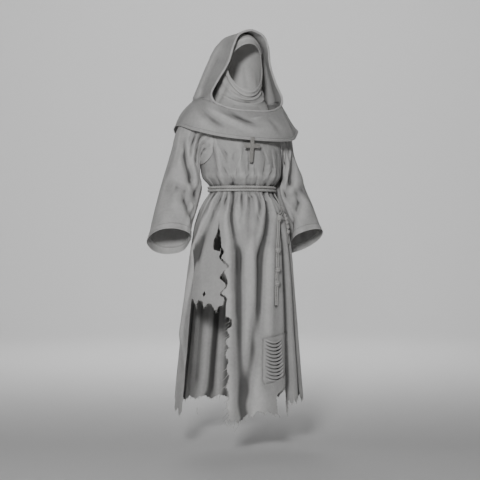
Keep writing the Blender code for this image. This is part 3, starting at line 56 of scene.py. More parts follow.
tunic = {
    "rightSeam": -80.0,
    "leftSeam": 92.0,
    "backSeam": 180.0,
    "neckHeight": 1.436,
    "beltHeight": 1.090,
    "seamGap": 0.0003,
    "armholeAngle": 88.0,
    "armholeHeight": 1.305,
    "armholeRise": 0.112,
    "armholeSpread": 33.0,
    "gathers": 26,
    "gatherDepth": 0.0052,
    "creaseScale": 1.35,
    "chestWiden": 2.0,
    "chestSoften": 0.72,
    "levels": table(
        "height halfWidth front back centreX centreY",
        (0.100, 0.286, 0.246, 0.250, -0.004, 0.000),
        (0.190, 0.280, 0.240, 0.243, -0.004, 0.000),
        (0.450, 0.257, 0.218, 0.222, -0.002, 0.000),
        (0.700, 0.234, 0.196, 0.200, 0.002, 0.000),
        (0.870, 0.214, 0.176, 0.184, 0.006, 0.000),
        (0.960, 0.198, 0.158, 0.168, 0.008, 0.000),
        (1.035, 0.164, 0.132, 0.142, 0.009, 0.000),
        (1.066, 0.143, 0.116, 0.120, 0.009, 0.000),
        (1.080, 0.137, 0.110, 0.113, 0.009, 0.000),
        (1.100, 0.137, 0.110, 0.113, 0.009, 0.000),
        (1.116, 0.148, 0.124, 0.124, 0.008, 0.000),
        (1.135, 0.164, 0.139, 0.136, 0.006, 0.000),
        (1.170, 0.173, 0.142, 0.140, 0.004, 0.000),
        (1.240, 0.178, 0.139, 0.138, 0.002, 0.004),
        (1.330, 0.184, 0.132, 0.132, 0.000, 0.014),
        (1.385, 0.174, 0.116, 0.120, 0.000, 0.022),
        (1.415, 0.146, 0.097, 0.106, 0.000, 0.026),
        (1.436, 0.100, 0.078, 0.088, 0.000, 0.028),
    ),
    # the long folds, a ridge above nought and a trough below it
    "folds": table(
        "angle height lowAngle lowHeight width depth",
        (-37, 1.06, -22.5, 0.80, 4.6, -0.015),
        (-22.5, 0.80, -19, 0.17, 6.2, -0.021),
        (25, 1.05, 2, 0.80, 4.6, -0.015),
        (2, 0.80, -13, 0.29, 5.8, -0.018),
        (-12, 1.02, -12, 0.70, 4.0, -0.004),
        (-9, 0.84, -5, 0.50, 4.0, 0.006),
        (14, 0.80, 8, 0.52, 5.0, 0.006),
        (40, 1.04, 27, 0.18, 5.0, -0.014),
        (57, 1.05, 50, 0.17, 5.0, -0.014),
        (74, 1.04, 73, 0.16, 5.0, -0.013),
        (92, 1.02, 96, 0.18, 5.0, -0.012),
        (112, 1.04, 116, 0.15, 5.2, -0.014),
        (131, 1.03, 137, 0.20, 5.0, -0.011),
        (148, 1.05, 155, 0.16, 5.4, -0.015),
        (167, 1.04, 170, 0.16, 5.0, -0.012),
        (184, 1.05, 189, 0.16, 5.4, -0.015),
        (203, 1.04, 205, 0.30, 4.6, -0.010),
        (219, 1.05, 222, 0.16, 5.4, -0.014),
        (237, 1.04, 239, 0.16, 5.0, -0.012),
        (-66, 1.04, -83, 0.84, 4.0, 0.011),
        (-83, 0.84, -96, 0.50, 4.4, 0.011),
        (-57, 1.03, -74, 0.82, 4.0, -0.006),
        (-104, 1.03, -108, 0.16, 5.0, -0.013),
    ),
    # the sharper creases that come on top of them
    "creases": table(
        "angle height lowAngle lowHeight width depth",
        (-35.5, 1.050, -30.5, 0.88, 1.7, -0.0055),
        (-30.5, 0.88, -25.5, 0.60, 2.0, -0.0045),
        (-41.0, 1.055, -39.0, 0.93, 1.6, 0.0035),
        (-31.0, 1.066, -22.5, 0.98, 1.6, -0.0050),
        (-22.5, 0.98, -16.0, 0.84, 1.8, -0.0030),
        (-26.5, 1.060, -21.0, 0.96, 1.6, 0.0030),
        (-22.5, 1.066, -19.0, 1.016, 1.4, -0.0040),
        (-9.0, 1.062, -9.5, 1.000, 1.5, -0.0045),
        (-3.0, 1.066, -3.5, 0.984, 1.5, -0.0050),
        (13.5, 1.062, 2.0, 0.98, 1.6, -0.0060),
        (2.0, 0.98, -4.0, 0.90, 1.8, -0.0035),
        (25.5, 1.064, 19.0, 1.004, 1.6, -0.0050),
        (19.0, 1.004, 4.0, 0.86, 1.9, -0.0050),
        (37.0, 1.064, 36.0, 0.92, 1.6, -0.0045),
        (31.0, 1.060, 30.0, 0.97, 1.5, 0.0030),
        (48.0, 1.062, 46.0, 0.95, 1.6, -0.0045),
        (-60.0, 1.058, -51.0, 1.016, 1.5, -0.0040),
        (-52.0, 1.060, -36.5, 0.968, 1.5, -0.0050),
        (-49.5, 1.066, -37.5, 1.000, 1.3, -0.0035),
        (-64.0, 1.045, -78.5, 0.872, 1.3, 0.0030),
        (-78.5, 0.872, -84.0, 0.748, 1.3, 0.0030),
        (-84.0, 0.748, -96.0, 0.50, 1.4, 0.0028),
        (-96.0, 0.50, -73.0, 0.30, 1.5, 0.0022),
        (-69.5, 1.028, -75.0, 0.83, 2.0, -0.0040),
        (-60.5, 1.292, -71.0, 1.144, 2.6, -0.0060),
        (-48.0, 1.244, -70.0, 1.164, 2.2, 0.0045),
        (-55.5, 1.214, -70.0, 1.136, 1.8, -0.0045),
        (-45.0, 1.238, -50.0, 1.164, 2.2, 0.0055),
        (-50.0, 1.164, -53.0, 1.112, 1.8, 0.0040),
        (-39.5, 1.246, -42.5, 1.164, 1.6, -0.0055),
        (-42.5, 1.164, -45.5, 1.112, 1.4, -0.0055),
        (-36.0, 1.136, -40.5, 1.110, 1.3, -0.0045),
        (-34.5, 1.146, -37.0, 1.136, 1.3, 0.0035),
        (-31.5, 1.224, -28.5, 1.156, 1.6, -0.0045),
        (-28.5, 1.156, -24.0, 1.110, 1.5, -0.0055),
        (-24.5, 1.200, -21.0, 1.130, 2.4, 0.0060),
        (-17.0, 1.252, -10.5, 1.196, 2.0, -0.0050),
        (-10.5, 1.196, -2.5, 1.168, 1.9, -0.0065),
        (-2.5, 1.168, 8.0, 1.152, 1.6, -0.0045),
        (-12.0, 1.140, -11.5, 1.112, 1.3, -0.0050),
        (-15.0, 1.144, -10.0, 1.147, 1.3, -0.0030),
        (4.5, 1.130, -1.5, 1.112, 1.4, -0.0050),
        (16.5, 1.240, 13.5, 1.184, 1.9, -0.0050),
        (13.5, 1.184, 20.5, 1.112, 1.6, -0.0060),
        (22.0, 1.190, 23.0, 1.118, 1.8, 0.0045),
        (33.5, 1.208, 26.5, 1.160, 1.7, -0.0045),
        (26.5, 1.160, 27.5, 1.114, 1.5, -0.0050),
        (35.0, 1.180, 35.0, 1.116, 1.8, 0.0045),
        (47.0, 1.252, 46.0, 1.112, 2.2, -0.0055),
        (62.0, 1.180, 58.0, 1.112, 2.0, -0.0050),
        (78.0, 1.170, 76.0, 1.112, 2.0, -0.0045),
        (68.0, 1.064, 64.0, 0.93, 1.9, -0.0045),
        (84.0, 1.062, 86.0, 0.96, 1.9, -0.0045),
        (104.0, 1.062, 104.0, 0.90, 2.0, -0.0045),
        (122.0, 1.064, 125.0, 0.94, 2.0, -0.0050),
        (140.0, 1.062, 146.0, 0.88, 2.0, -0.0045),
        (158.0, 1.064, 160.0, 0.95, 2.0, -0.0050),
        (176.0, 1.062, 180.0, 0.90, 2.0, -0.0050),
        (194.0, 1.064, 198.0, 0.94, 2.0, -0.0045),
        (211.0, 1.062, 213.0, 0.88, 2.0, -0.0050),
        (228.0, 1.064, 231.0, 0.95, 2.0, -0.0045),
        (98.0, 1.200, 96.0, 1.112, 2.2, -0.0050),
        (118.0, 1.230, 121.0, 1.112, 2.4, -0.0055),
        (137.0, 1.200, 138.0, 1.112, 2.2, -0.0045),
        (155.0, 1.250, 158.0, 1.112, 2.6, -0.0060),
        (172.0, 1.190, 171.0, 1.112, 2.2, -0.0045),
        (190.0, 1.240, 188.0, 1.112, 2.6, -0.0060),
        (209.0, 1.200, 207.0, 1.112, 2.2, -0.0050),
        (226.0, 1.230, 223.0, 1.112, 2.4, -0.0055),
        (242.0, 1.190, 243.0, 1.112, 2.2, -0.0045),
    ),
    "rip": table(
        "height left right",
        (0.957, -49.0, -49.0),
        (0.915, -50.4, -46.6),
        (0.868, -54.2, -43.6),
        (0.845, -53.6, -43.4),
        (0.832, -44.0, -39.8),
        (0.808, -45.2, -42.0),
        (0.770, -35.8, -33.0),
        (0.748, -40.4, -37.6),
        (0.728, -43.0, -35.8),
        (0.700, -37.4, -34.2),
        (0.665, -42.6, -39.6),
        (0.643, -37.0, -33.6),
        (0.616, -39.0, -35.4),
    ),
    "tornEdge": table(
        "height angle",
        (0.575, -35.2),
        (0.560, -30.0),
        (0.536, -29.6),
        (0.522, -33.4),
        (0.498, -30.6),
        (0.474, -33.8),
        (0.448, -30.8),
        (0.424, -34.0),
        (0.396, -30.8),
        (0.366, -33.0),
        (0.330, -30.2),
        (0.300, -32.4),
        (0.258, -30.4),
        (0.222, -32.0),
        (0.184, -30.8),
        (0.143, -31.8),
    ),
    "thighEdge": table(
        "angle height",
        (-80.0, 0.640),
        (-76.0, 0.634),
        (-72.0, 0.621),
        (-69.0, 0.636),
        (-63.0, 0.629),
        (-60.0, 0.611),
        (-55.0, 0.624),
        (-49.5, 0.616),
        (-47.0, 0.598),
        (-42.0, 0.616),
    ),
    "frontHem": table(
        "angle height",
        (-29.6, 0.172),
        (-27.0, 0.158),
        (-24.5, 0.176),
        (-22.0, 0.155),
        (-18.5, 0.170),
        (-15.0, 0.184),
        (-10.5, 0.178),
        (-6.0, 0.197),
        (-1.0, 0.188),
        (4.0, 0.194),
        (9.5, 0.176),
        (12.0, 0.182),
        (12.6, 0.262),
        (18.5, 0.272),
        (25.0, 0.296),
        (26.0, 0.176),
        (28.2, 0.180),
        (29.2, 0.224),
        (32.0, 0.206),
        (35.0, 0.234),
        (38.5, 0.208),
        (42.0, 0.234),
        (48.0, 0.222),
        (53.0, 0.240),
        (58.0, 0.214),
        (63.0, 0.236),
        (69.0, 0.210),
        (75.0, 0.232),
        (81.0, 0.206),
        (86.0, 0.228),
        (92.0, 0.212),
    ),
    "backHem": table(
        "angle height",
        (92.0, 0.212),
        (98.0, 0.232),
        (104.0, 0.204),
        (110.0, 0.226),
        (118.0, 0.198),
        (125.0, 0.220),
        (132.0, 0.192),
        (141.0, 0.214),
        (150.0, 0.190),
        (158.0, 0.208),
        (167.0, 0.186),
        (176.0, 0.206),
        (185.0, 0.188),
        (193.0, 0.208),
        (202.0, 0.194),
        (210.0, 0.216),
        (218.0, 0.196),
        (226.0, 0.222),
        (234.0, 0.202),
        (241.0, 0.236),
        (247.0, 0.224),
        (253.0, 0.188),
        (260.0, 0.196),
        (266.0, 0.180),
        (272.0, 0.194),
        (276.0, 0.166),
        (280.0, 0.186),
    ),
    # the worn place over the shin
    "ladderTop": 0.474,
    "ladderSlots": 11,
    "ladderPitch": 0.0142,
    "ladderGap": 0.0052,
    "ladderSag": 0.015,
    "ladderLeft": 2.6,
    "ladderRight": 22.0,
    "ladderBulge": 0.0032,
}


# above the belt the creases are broad and soft
onChest = tunic["creases"]["lowHeight"] > tunic["beltHeight"]
tunic["creases"]["width"] *= np.where(onChest, tunic["chestWiden"], 1.0)
tunic["creases"]["depth"] *= np.where(onChest, tunic["chestSoften"], 1.0)

patchLine = table(
    "angle height",
    (34.0, 0.505),
    (26.0, 0.498),
    (14.0, 0.490),
    (1.5, 0.482),
    (0.5, 0.398),
    (-0.2, 0.316),
    (1.2, 0.302),
    (6.5, 0.304),
    (17.0, 0.314),
    (24.0, 0.328),
    (28.5, 0.360),
    (31.5, 0.430),
)


def through(knots, values, at):  # a smooth curve through rows of values
    knots = np.asarray(knots, float)
    values = np.asarray(values, float)
    slope = np.gradient(values, knots, axis=0)
    at = np.clip(np.asarray(at, float), knots[0], knots[-1])
    i = np.clip(np.searchsorted(knots, at, side="right") - 1, 0, len(knots) - 2)
    span = knots[i + 1] - knots[i]
    t = (at - knots[i]) / span
    rows = [values[i], values[i + 1], slope[i], slope[i + 1]]
    if values.ndim == 3:
        pick = np.arange(at.size)
        rows = [row[pick, pick] for row in rows]
    if rows[0].ndim > 1:
        t, span = t[:, None], span[:, None]
    start = (1 + 2 * t) * (1 - t) ** 2 * rows[0] + t * (1 - t) ** 2 * span * rows[2]
    end = t * t * (3 - 2 * t) * rows[1] + t * t * (t - 1) * span * rows[3]
    return start + end


def throughRings(knots, rings, at):  # the same, one ring of points for each knot and one place for each point
    knots = np.asarray(knots, float)
    rings = np.stack(rings)
    slope = np.gradient(rings, knots, axis=0)
    at = np.clip(np.asarray(at, float), knots[0], knots[-1])
    i = np.clip(np.searchsorted(knots, at, side="right") - 1, 0, len(knots) - 2)
    pick = np.arange(at.size)
    span = (knots[i + 1] - knots[i])[:, None]
    t = (at - knots[i])[:, None] / span
    low, high, lowSlope, highSlope = rings[i, pick], rings[i + 1, pick], slope[i, pick], slope[i + 1, pick]
    start = (1 + 2 * t) * (1 - t) ** 2 * low + t * (1 - t) ** 2 * span * lowSlope
    return start + t * t * (3 - 2 * t) * high + t * t * (t - 1) * span * highSlope


def ease(t):
    t = np.clip(t, 0.0, 1.0)
    return t * t * (3 - 2 * t)


def bump(x, middle, width):
    return np.exp(-(((x - middle) / width) ** 2))


def creased(folds, u, v, vScale, sharp=False, fading=0.0):  # ridges and troughs along lines on the flat cloth
    total = np.zeros(len(u))
    for u0, v0, u1, v1, width, depth in zip(*folds.values()):
        du, dv = u1 - u0, (v1 - v0) * vScale
        t = ((u - u0) * du + (v - v0) * vScale * dv) / (du * du + dv * dv)
        held = np.clip(t, 0.0, 1.0)
        across = np.hypot(u - u0 - held * du, (v - v0) * vScale - held * dv) / width
        if sharp:
            # a groove with round shoulders, thinning out towards its lower end
            across = across / creaseWidth
            taper = ease(held / 0.12) * (1.0 - 0.55 * held)
            shape = np.exp(-np.abs(across) ** 1.6) - 0.30 * np.exp(-((across - 1.7) ** 2) / 0.9)
            total += depth * taper * shape
        else:
            ends = ease(held / fading) * ease((1 - held) / fading) if fading else 1.0
            total += depth * ends * np.exp(-(across**2))
    return total


def normalsOf(form, u, v, du, dv):
    alongU = form(u + du, v) - form(u - du, v)
    alongV = form(u, v + dv) - form(u, v - dv)
    cross = np.cross(alongU, alongV)
    return cross / np.maximum(np.linalg.norm(cross, axis=1, keepdims=True), 1e-12)


def columnsOf(rows, *names):
    return np.stack([rows[name] for name in names], axis=1)


def unit(vectors):
    return vectors / np.maximum(np.linalg.norm(vectors, axis=1, keepdims=True), 1e-12)


def bodyForm(angle, height):
    turn = np.radians(angle)
    row = {name: through(tunic["levels"]["height"], tunic["levels"][name], height) for name in tunic["levels"]}
    depth = np.where(np.cos(turn) > 0, row["front"], row["back"])
    x = row["centreX"] + row["halfWidth"] * np.sin(turn)
    y = row["centreY"] - depth * np.cos(turn)
    return np.stack([x, y, np.asarray(height) - floorDrop], axis=1)


def patchForm(angle, height):  # a sunk line round the patch, and the round bars between the ladder's slots
    outline = columnsOf(patchLine, "angle", "height") * flatScale
    points = np.stack([angle, height], axis=1) * flatScale
    away = nearEdge(points, outline, 0.02)
    raised = 0.0013 * inside(points, outline) * ease(away / 0.004) - 0.0030 * bump(away, 0.0, 0.0036)
    along = np.clip((angle - tunic["ladderLeft"]) / (tunic["ladderRight"] - tunic["ladderLeft"]), 0.0, 1.0)
    sag = tunic["ladderSag"] * 4 * along * (1 - along)
    row = (tunic["ladderTop"] - sag - height) / tunic["ladderPitch"]
    # each bar stands midway between two slots, with one more above the first and below the last
    within = (row > -0.9) & (row < tunic["ladderSlots"] - 0.1)
    bar = np.sqrt(np.clip(1.0 - (((row % 1.0) - 0.5) / 0.37) ** 2, 0.0, 1.0))
    return raised + tunic["ladderBulge"] * bar * within * ease(along / 0.08) * ease((1 - along) / 0.08)


def bodyFolds(angle, height):
    wrapped = (angle + 114.0) % 360.0 - 114.0
    total = creased(tunic["folds"], wrapped, height, 90.0)
    total += tunic["creaseScale"] * creased(tunic["creases"], wrapped, height, 90.0, True)
    wobble = 5.0 * np.sin(np.radians(3 * wrapped + 20)) + 3.0 * np.sin(np.radians(7 * wrapped))
    # gathers: round ridges with narrow troughs between them, no two alike
    phase = 0.5 * np.radians(tunic["gathers"] * wrapped + 3.0 * wobble)
    wave = 1.8 * np.sqrt(np.cos(phase) ** 2 + 0.05) - 1.1
    reach = 0.5 + 0.5 * np.sin(np.radians(5 * wrapped + 40)) * np.sin(np.radians(8 * wrapped))
    below = ease((height - 0.915 - 0.05 * reach) / 0.11) * ease((tunic["beltHeight"] - 0.004 - height) / 0.030)
    above = 0.6 * ease((1.172 - 0.03 * reach - height) / 0.05) * ease((height - tunic["beltHeight"] - 0.004) / 0.035)
    smoothThigh = 1 - 0.85 * np.exp(-(((wrapped + 62) / 15) ** 2)) * ease((1.05 - height) / 0.05)
    total += tunic["gatherDepth"] * wave * (below * smoothThigh + above)
    total += patchForm(wrapped, height)
    # slow unevenness of heavy cloth
    soft = np.sin(np.radians(9 * wrapped + 300 * height)) * np.sin(np.radians(620 * height + 4 * wrapped))
    return total + 0.0011 * soft * ease((1.04 - height) / 0.1) + 0.0008 * soft * ease((height - 1.16) / 0.08)


def tunicPlace(angle, height):
    angle, height = np.asarray(angle, float), np.asarray(height, float)
    out = normalsOf(bodyForm, angle, height, 0.2, 0.002)
    return bodyForm(angle, height) + out * bodyFolds(angle, height)[:, None]


def inside(points, outline):
    x, y = points[:, 0], points[:, 1]
    found = np.zeros(len(points), bool)
    for (x0, y0), (x1, y1) in zip(outline, np.roll(outline, -1, axis=0)):
        crosses = (y0 > y) != (y1 > y)
        found ^= crosses & (x < (x1 - x0) * (y - y0) / (y1 - y0 + 1e-15) + x0)
    return found


def nearEdge(points, outline, reach=3.0):  # the distance to the outline, where that is small
    best = np.full(len(points), 1e9)
    for a, b in zip(outline, np.roll(outline, -1, axis=0)):
        side = b - a
        low, high = np.minimum(a, b) - reach, np.maximum(a, b) + reach
        near = np.flatnonzero(((points >= low) & (points <= high)).all(axis=1))
        if len(near) == 0:
            continue
        t = np.clip((points[near] - a) @ side / max(side @ side, 1e-12), 0.0, 1.0)
        best[near] = np.minimum(best[near], np.linalg.norm(points[near] - a - t[:, None] * side, axis=1))
    return best


def divided(outline, steps):
    pieces = []
    for a, b in zip(outline, np.roll(outline, -1, axis=0)):
        count = max(1, int(np.ceil(np.linalg.norm((b - a) / steps) - 0.25)))
        pieces.append(a + (b - a) * (np.arange(count) / count)[:, None])
    return np.concatenate(pieces)


def meshObject(name, points, faces, finish, uv=None):
    mesh = bpy.data.meshes.new(name)
    mesh.from_pydata([tuple(map(float, p)) for p in points], [], [tuple(map(int, f)) for f in faces])
    if uv is not None:
        layer = mesh.uv_layers.new(name="weave")
        corners = np.empty(len(mesh.loops), np.int32)
        mesh.loops.foreach_get("vertex_index", corners)
        layer.data.foreach_set("uv", np.asarray(uv, np.float32)[corners].ravel())
    mesh.materials.append(finish)
    mesh.shade_smooth()
    made = bpy.data.objects.new(name, mesh)
    bpy.context.scene.collection.objects.link(made)
    return made


def thicken(name, outer, inner, triangles, finish, uv):  # two skins of cloth and the rim between them
    count = len(outer)
    triangles = np.asarray(triangles)
    edges = np.concatenate([triangles[:, [0, 1]], triangles[:, [1, 2]], triangles[:, [2, 0]]])
    keys = edges[:, 0].astype(np.int64) * count + edges[:, 1]
    back = edges[:, 1].astype(np.int64) * count + edges[:, 0]
    rim = edges[~np.isin(keys, back)]
    faces = [tuple(t) for t in triangles] + [tuple(t) for t in (triangles[:, ::-1] + count)]
    faces += [(a, a + count, b + count, b) for a, b in rim]
    made = meshObject(name, np.concatenate([outer, inner]), faces, finish, np.concatenate([uv, uv]))
    made.data.set_sharp_from_angle(angle=math.radians(55))
    made["skin"] = len(triangles)
    # how far each point lies below the cloth round it: the material paints shade into the troughs and a painted
    # highlight onto the ridges
    even = spread(outer, edges, 56)
    hollow = ((even - outer) * unit(outer - inner)).sum(axis=1) / 0.0048
    setHollow(made, np.concatenate([hollow, hollow]))
    return made


def setHollow(made, values):
    layer = made.data.attributes.new("hollow", "FLOAT", "POINT")
    layer.data.foreach_set("value", np.clip(values, -1.5, 1.5).astype(np.float32))


def skinsOf(objects):
    trees = []
    for made in objects:
        points = [v.co.copy() for v in made.data.vertices]
        faces = [tuple(f.vertices) for f in made.data.polygons[: made["skin"]]]
        trees.append(BVHTree.FromPolygons(points, faces))
    return trees


def lack(point, trees, gap, reach=0.03):
    worst, way = 0.0, None
    for tree in trees:
        spot, normal, _, distance = tree.find_nearest(Vector(point), reach)
        if spot is None:
            continue
        above = (Vector(point) - spot).dot(normal)
        short = gap - above if above < -0.5 * distance else gap - distance
        if short > worst:
            worst, way = short, np.array(normal)
    return worst, way


def lifted(points, trees, gap, rounds=3):
    moved = points.copy()
    for _ in range(rounds):
        touched = 0
        for i in range(len(moved)):
            short, way = lack(moved[i], trees, gap)
            if short > 0:
                moved[i] += way * short
                touched += 1
        if touched == 0:
            break
    return moved


def spread(shift, neighbours, rounds):  # evens a push out over the points round it
    start, end = np.concatenate([neighbours, neighbours[:, ::-1]]).T
    size = len(shift)
    count = np.maximum(np.bincount(start, minlength=size), 1)
    for _ in range(rounds):
        even = [np.bincount(start, weights=shift[end, k], minlength=size) / count for k in range(3)]
        shift = 0.5 * shift + 0.5 * np.stack(even, axis=1)
    return shift


def laid(outer, inner, triangles, over, gap):
    edges = np.concatenate([triangles[:, [0, 1]], triangles[:, [1, 2]], triangles[:, [2, 0]]])
    for _ in range(2):
        shift = lifted(inner, over, gap) - inner
        if np.abs(shift).max() == 0:
            break
        soft = spread(shift, edges, 4)
        outer, inner = outer + soft, inner + soft
    shift = lifted(inner, over, 0.5 * gap) - inner
    return outer + shift, inner + shift


def panel(name, place, outline, grid, steps, thickness, finish, holes=(), flip=False,
          deltas=(0.2, 0.002), over=(), gap=0.0010, metres=(0.004, 1.0), clear=0.45):
    steps = np.array(steps)
    outline = divided(np.asarray(outline, float), steps) / steps
    holes = [divided(np.asarray(hole, float), steps) / steps for hole in holes]
    points = np.asarray(grid, float) / steps
    keep = inside(points, outline) & (nearEdge(points, outline) > clear)
    for hole in holes:
        keep &= ~inside(points, hole) & (nearEdge(points, hole) > clear)
    loops = [outline, *holes]
    sides, start = [], 0
    for loop in loops:
        sides += [(start + i, start + (i + 1) % len(loop)) for i in range(len(loop))]
        start += len(loop)
    flat = np.concatenate([*loops, points[keep]])
    found, _, triangles, *_ = delaunay_2d_cdt([Vector(p) for p in flat], sides, [], 0, 1e-6)
    found = np.array([tuple(p) for p in found])
    triangles = np.array([tuple(t) for t in triangles])
    middle = found[triangles].mean(axis=1)
    keep = inside(middle, outline)
    for hole in holes:
        keep &= ~inside(middle, hole)
    used, triangles = np.unique(triangles[keep], return_inverse=True)
    triangles = triangles.reshape(-1, 3)
    u, v = (found[used] * steps).T
    outer = place(u, v)
    out = normalsOf(place, u, v, *deltas) * (-1 if flip else 1)
    out[np.abs(outer[:, 0]) < 0.0006, 0] = 0.0
    out = unit(out)
    if flip:
        triangles = triangles[:, ::-1]
    inner = outer - out * thickness
    if over:
        outer, inner = laid(outer, inner, triangles, over, gap)
    return thicken(name, outer, inner, triangles, finish, np.stack([u * metres[0], v * metres[1]], axis=1))


def tube(name, place, around, rows, thickness, finish, flip=False, deltas=(0.5, 0.004), over=(),
         gap=0.0010, metres=(0.0016, 0.5)):
    angles = np.arange(around) * 360.0 / around
    u, v = np.meshgrid(angles, rows)
    u, v = u.ravel(), v.ravel()
    outer = place(u, v)
    out = normalsOf(place, u, v, *deltas) * (-1 if flip else 1)
    j, i = np.meshgrid(np.arange(len(rows) - 1), np.arange(around), indexing="ij")
    k = (i + 1) % around
    a, b, c, d = (j * around + i, j * around + k, (j + 1) * around + k, (j + 1) * around + i)
    triangles = np.concatenate([np.stack([a, b, c], -1).reshape(-1, 3), np.stack([a, c, d], -1).reshape(-1, 3)])
    if flip:
        triangles = triangles[:, ::-1]
    inner = outer - out * thickness
    if over:
        outer, inner = laid(outer, inner, triangles, over, gap)
    # the pattern is mirrored half way round, so that it has no seam
    half = np.abs((u + 180.0) % 360.0 - 180.0)
    return thicken(name, outer, inner, triangles, finish, np.stack([half * metres[0], v * metres[1]], axis=1))


# Materials


def nodeMaterial(name, baseColour, roughness):
    made = bpy.data.materials.new(name)
    made.use_nodes = True
    made.diffuse_color = baseColour
    shader = made.node_tree.nodes["Principled BSDF"]
    shader.inputs["Base Color"].default_value = baseColour
    shader.inputs["Roughness"].default_value = roughness
    return made, made.node_tree, shader


def mathNode(tree, operation, first, second=None, third=None):
    node = tree.nodes.new("ShaderNodeMath")
    node.operation = operation
    for socket, value in zip(node.inputs, (first, second, third)):
        if isinstance(value, (int, float)):
            socket.default_value = value
        elif value is not None:
            tree.links.new(value, socket)
    return node.outputs[0]


def rangeNode(tree, value, source, target):  # one range of values onto another, eased
    node = tree.nodes.new("ShaderNodeMapRange")
    node.interpolation_type = "SMOOTHSTEP"
    for name, number in zip(("From Min", "From Max", "To Min", "To Max"), (*source, *target)):
        node.inputs[name].default_value = number
    tree.links.new(value, node.inputs["Value"])
    return node.outputs["Result"]


def noiseNode(tree, vector, scale, detail=3.0, roughness=0.55):
    node = tree.nodes.new("ShaderNodeTexNoise")
    node.inputs["Scale"].default_value = scale
    node.inputs["Detail"].default_value = detail
    node.inputs["Roughness"].default_value = roughness
    tree.links.new(vector, node.inputs["Vector"])
    return node.outputs["Fac"]


woollenCloth = {
    "colour": (0.335, 0.332, 0.328),
    "wornColour": (0.40, 0.397, 0.39),
    "shadeColour": (0.275, 0.272, 0.268),
    "threadPitch": 0.0016,  # metres from one thread to the next
    "weaveDepth": 0.00022,
    "napDepth": 0.00018,
    "roughness": 0.74,
    "sheen": 0.08,
    # painted shade in the troughs of the folds and a painted highlight on their ridges
    "troughShade": 0.24,
    "ridgeHighlight": 1.30,
}


def clothMaterial(name, cloth):
    made, tree, shader = nodeMaterial(name, (*cloth["colour"], 1.0), cloth["roughness"])
    shader.inputs["Sheen Weight"].default_value = cloth["sheen"]
    shader.inputs["Sheen Roughness"].default_value = 0.45
    shader.inputs["Specular IOR Level"].default_value = 0.35
    place = tree.nodes.new("ShaderNodeTexCoord")
    uv = tree.nodes.new("ShaderNodeUVMap")
    uv.uv_map = "weave"
    split = tree.nodes.new("ShaderNodeSeparateXYZ")
    tree.links.new(uv.outputs["UV"], split.inputs["Vector"])
    # plain weave: each thread runs over the next, turn about
    turns = math.pi / cloth["threadPitch"]
    across = mathNode(tree, "SINE", mathNode(tree, "MULTIPLY", split.outputs["X"], turns))
    along = mathNode(tree, "SINE", mathNode(tree, "MULTIPLY", split.outputs["Y"], turns))
    warp = mathNode(tree, "MULTIPLY", mathNode(tree, "ABSOLUTE", across), 0.5)
    weft = mathNode(tree, "MULTIPLY", mathNode(tree, "ABSOLUTE", along), 0.5)
    over = mathNode(tree, "MULTIPLY", across, along)
    weave = mathNode(tree, "ADD", mathNode(tree, "ADD", warp, weft), mathNode(tree, "MULTIPLY", over, 0.35))
    nap = noiseNode(tree, place.outputs["Object"], 900.0, 4.0, 0.7)
    slub = noiseNode(tree, place.outputs["Object"], 90.0, 4.0, 0.6)
    wear = noiseNode(tree, place.outputs["Object"], 7.0, 5.0, 0.62)
    # colour: slow patches of wear, finer slubs, and the weave's own shade
    ramp = tree.nodes.new("ShaderNodeValToRGB")
    ramp.color_ramp.elements[0].position = 0.30
    ramp.color_ramp.elements[0].color = (*cloth["shadeColour"], 1.0)
    ramp.color_ramp.elements[1].position = 0.72
    ramp.color_ramp.elements[1].color = (*cloth["wornColour"], 1.0)
    middle = ramp.color_ramp.elements.new(0.5)
    middle.color = (*cloth["colour"], 1.0)
    mixed = mathNode(tree, "ADD", mathNode(tree, "MULTIPLY", wear, 0.62), mathNode(tree, "MULTIPLY", slub, 0.38))
    shaded = mathNode(tree, "MULTIPLY_ADD", weave, 0.10, mathNode(tree, "SUBTRACT", mixed, 0.05))
    tree.links.new(shaded, ramp.inputs["Fac"])
    # painted shade in the troughs of the folds and a painted highlight on their ridges, both read from how far the
    # cloth lies below its surroundings
    hollow = tree.nodes.new("ShaderNodeAttribute")
    hollow.attribute_name = "hollow"
    paintedShade = rangeNode(tree, hollow.outputs["Fac"], (0.0, 1.1), (1.0, cloth["troughShade"]))
    pale = rangeNode(tree, hollow.outputs["Fac"], (-1.0, 0.0), (cloth["ridgeHighlight"], 1.0))
    toned = tree.nodes.new("ShaderNodeVectorMath")
    toned.operation = "SCALE"
    tree.links.new(ramp.outputs["Color"], toned.inputs["Vector"])
    tree.links.new(mathNode(tree, "MULTIPLY", paintedShade, pale), toned.inputs["Scale"])
    tree.links.new(toned.outputs["Vector"], shader.inputs["Base Color"])
    rough = mathNode(tree, "MULTIPLY_ADD", slub, 0.14, cloth["roughness"] - 0.07)
    tree.links.new(rough, shader.inputs["Roughness"])
    woven = tree.nodes.new("ShaderNodeBump")
    woven.inputs["Strength"].default_value = 0.55
    woven.inputs["Distance"].default_value = cloth["weaveDepth"]
    tree.links.new(weave, woven.inputs["Height"])
    fuzzy = tree.nodes.new("ShaderNodeBump")
    fuzzy.inputs["Strength"].default_value = 0.5
    fuzzy.inputs["Distance"].default_value = cloth["napDepth"]
    tree.links.new(nap, fuzzy.inputs["Height"])
    tree.links.new(woven.outputs["Normal"], fuzzy.inputs["Normal"])
    tree.links.new(fuzzy.outputs["Normal"], shader.inputs["Normal"])
    return made


linenCloth = {
    "colour": (0.40, 0.397, 0.39),
    "wornColour": (0.45, 0.447, 0.44),
    "shadeColour": (0.35, 0.347, 0.34),
    "threadPitch": 0.0009,
    "weaveDepth": 0.00012,
    "napDepth": 0.00008,
    "roughness": 0.70,
    "sheen": 0.06,
    # painted shade in the troughs of the folds and a painted highlight on their ridges
    "troughShade": 0.34,
    "ridgeHighlight": 1.20,
}

cordFinish = {"colour": (0.43, 0.426, 0.415), "groove": (0.27, 0.266, 0.257), "roughness": 0.74}


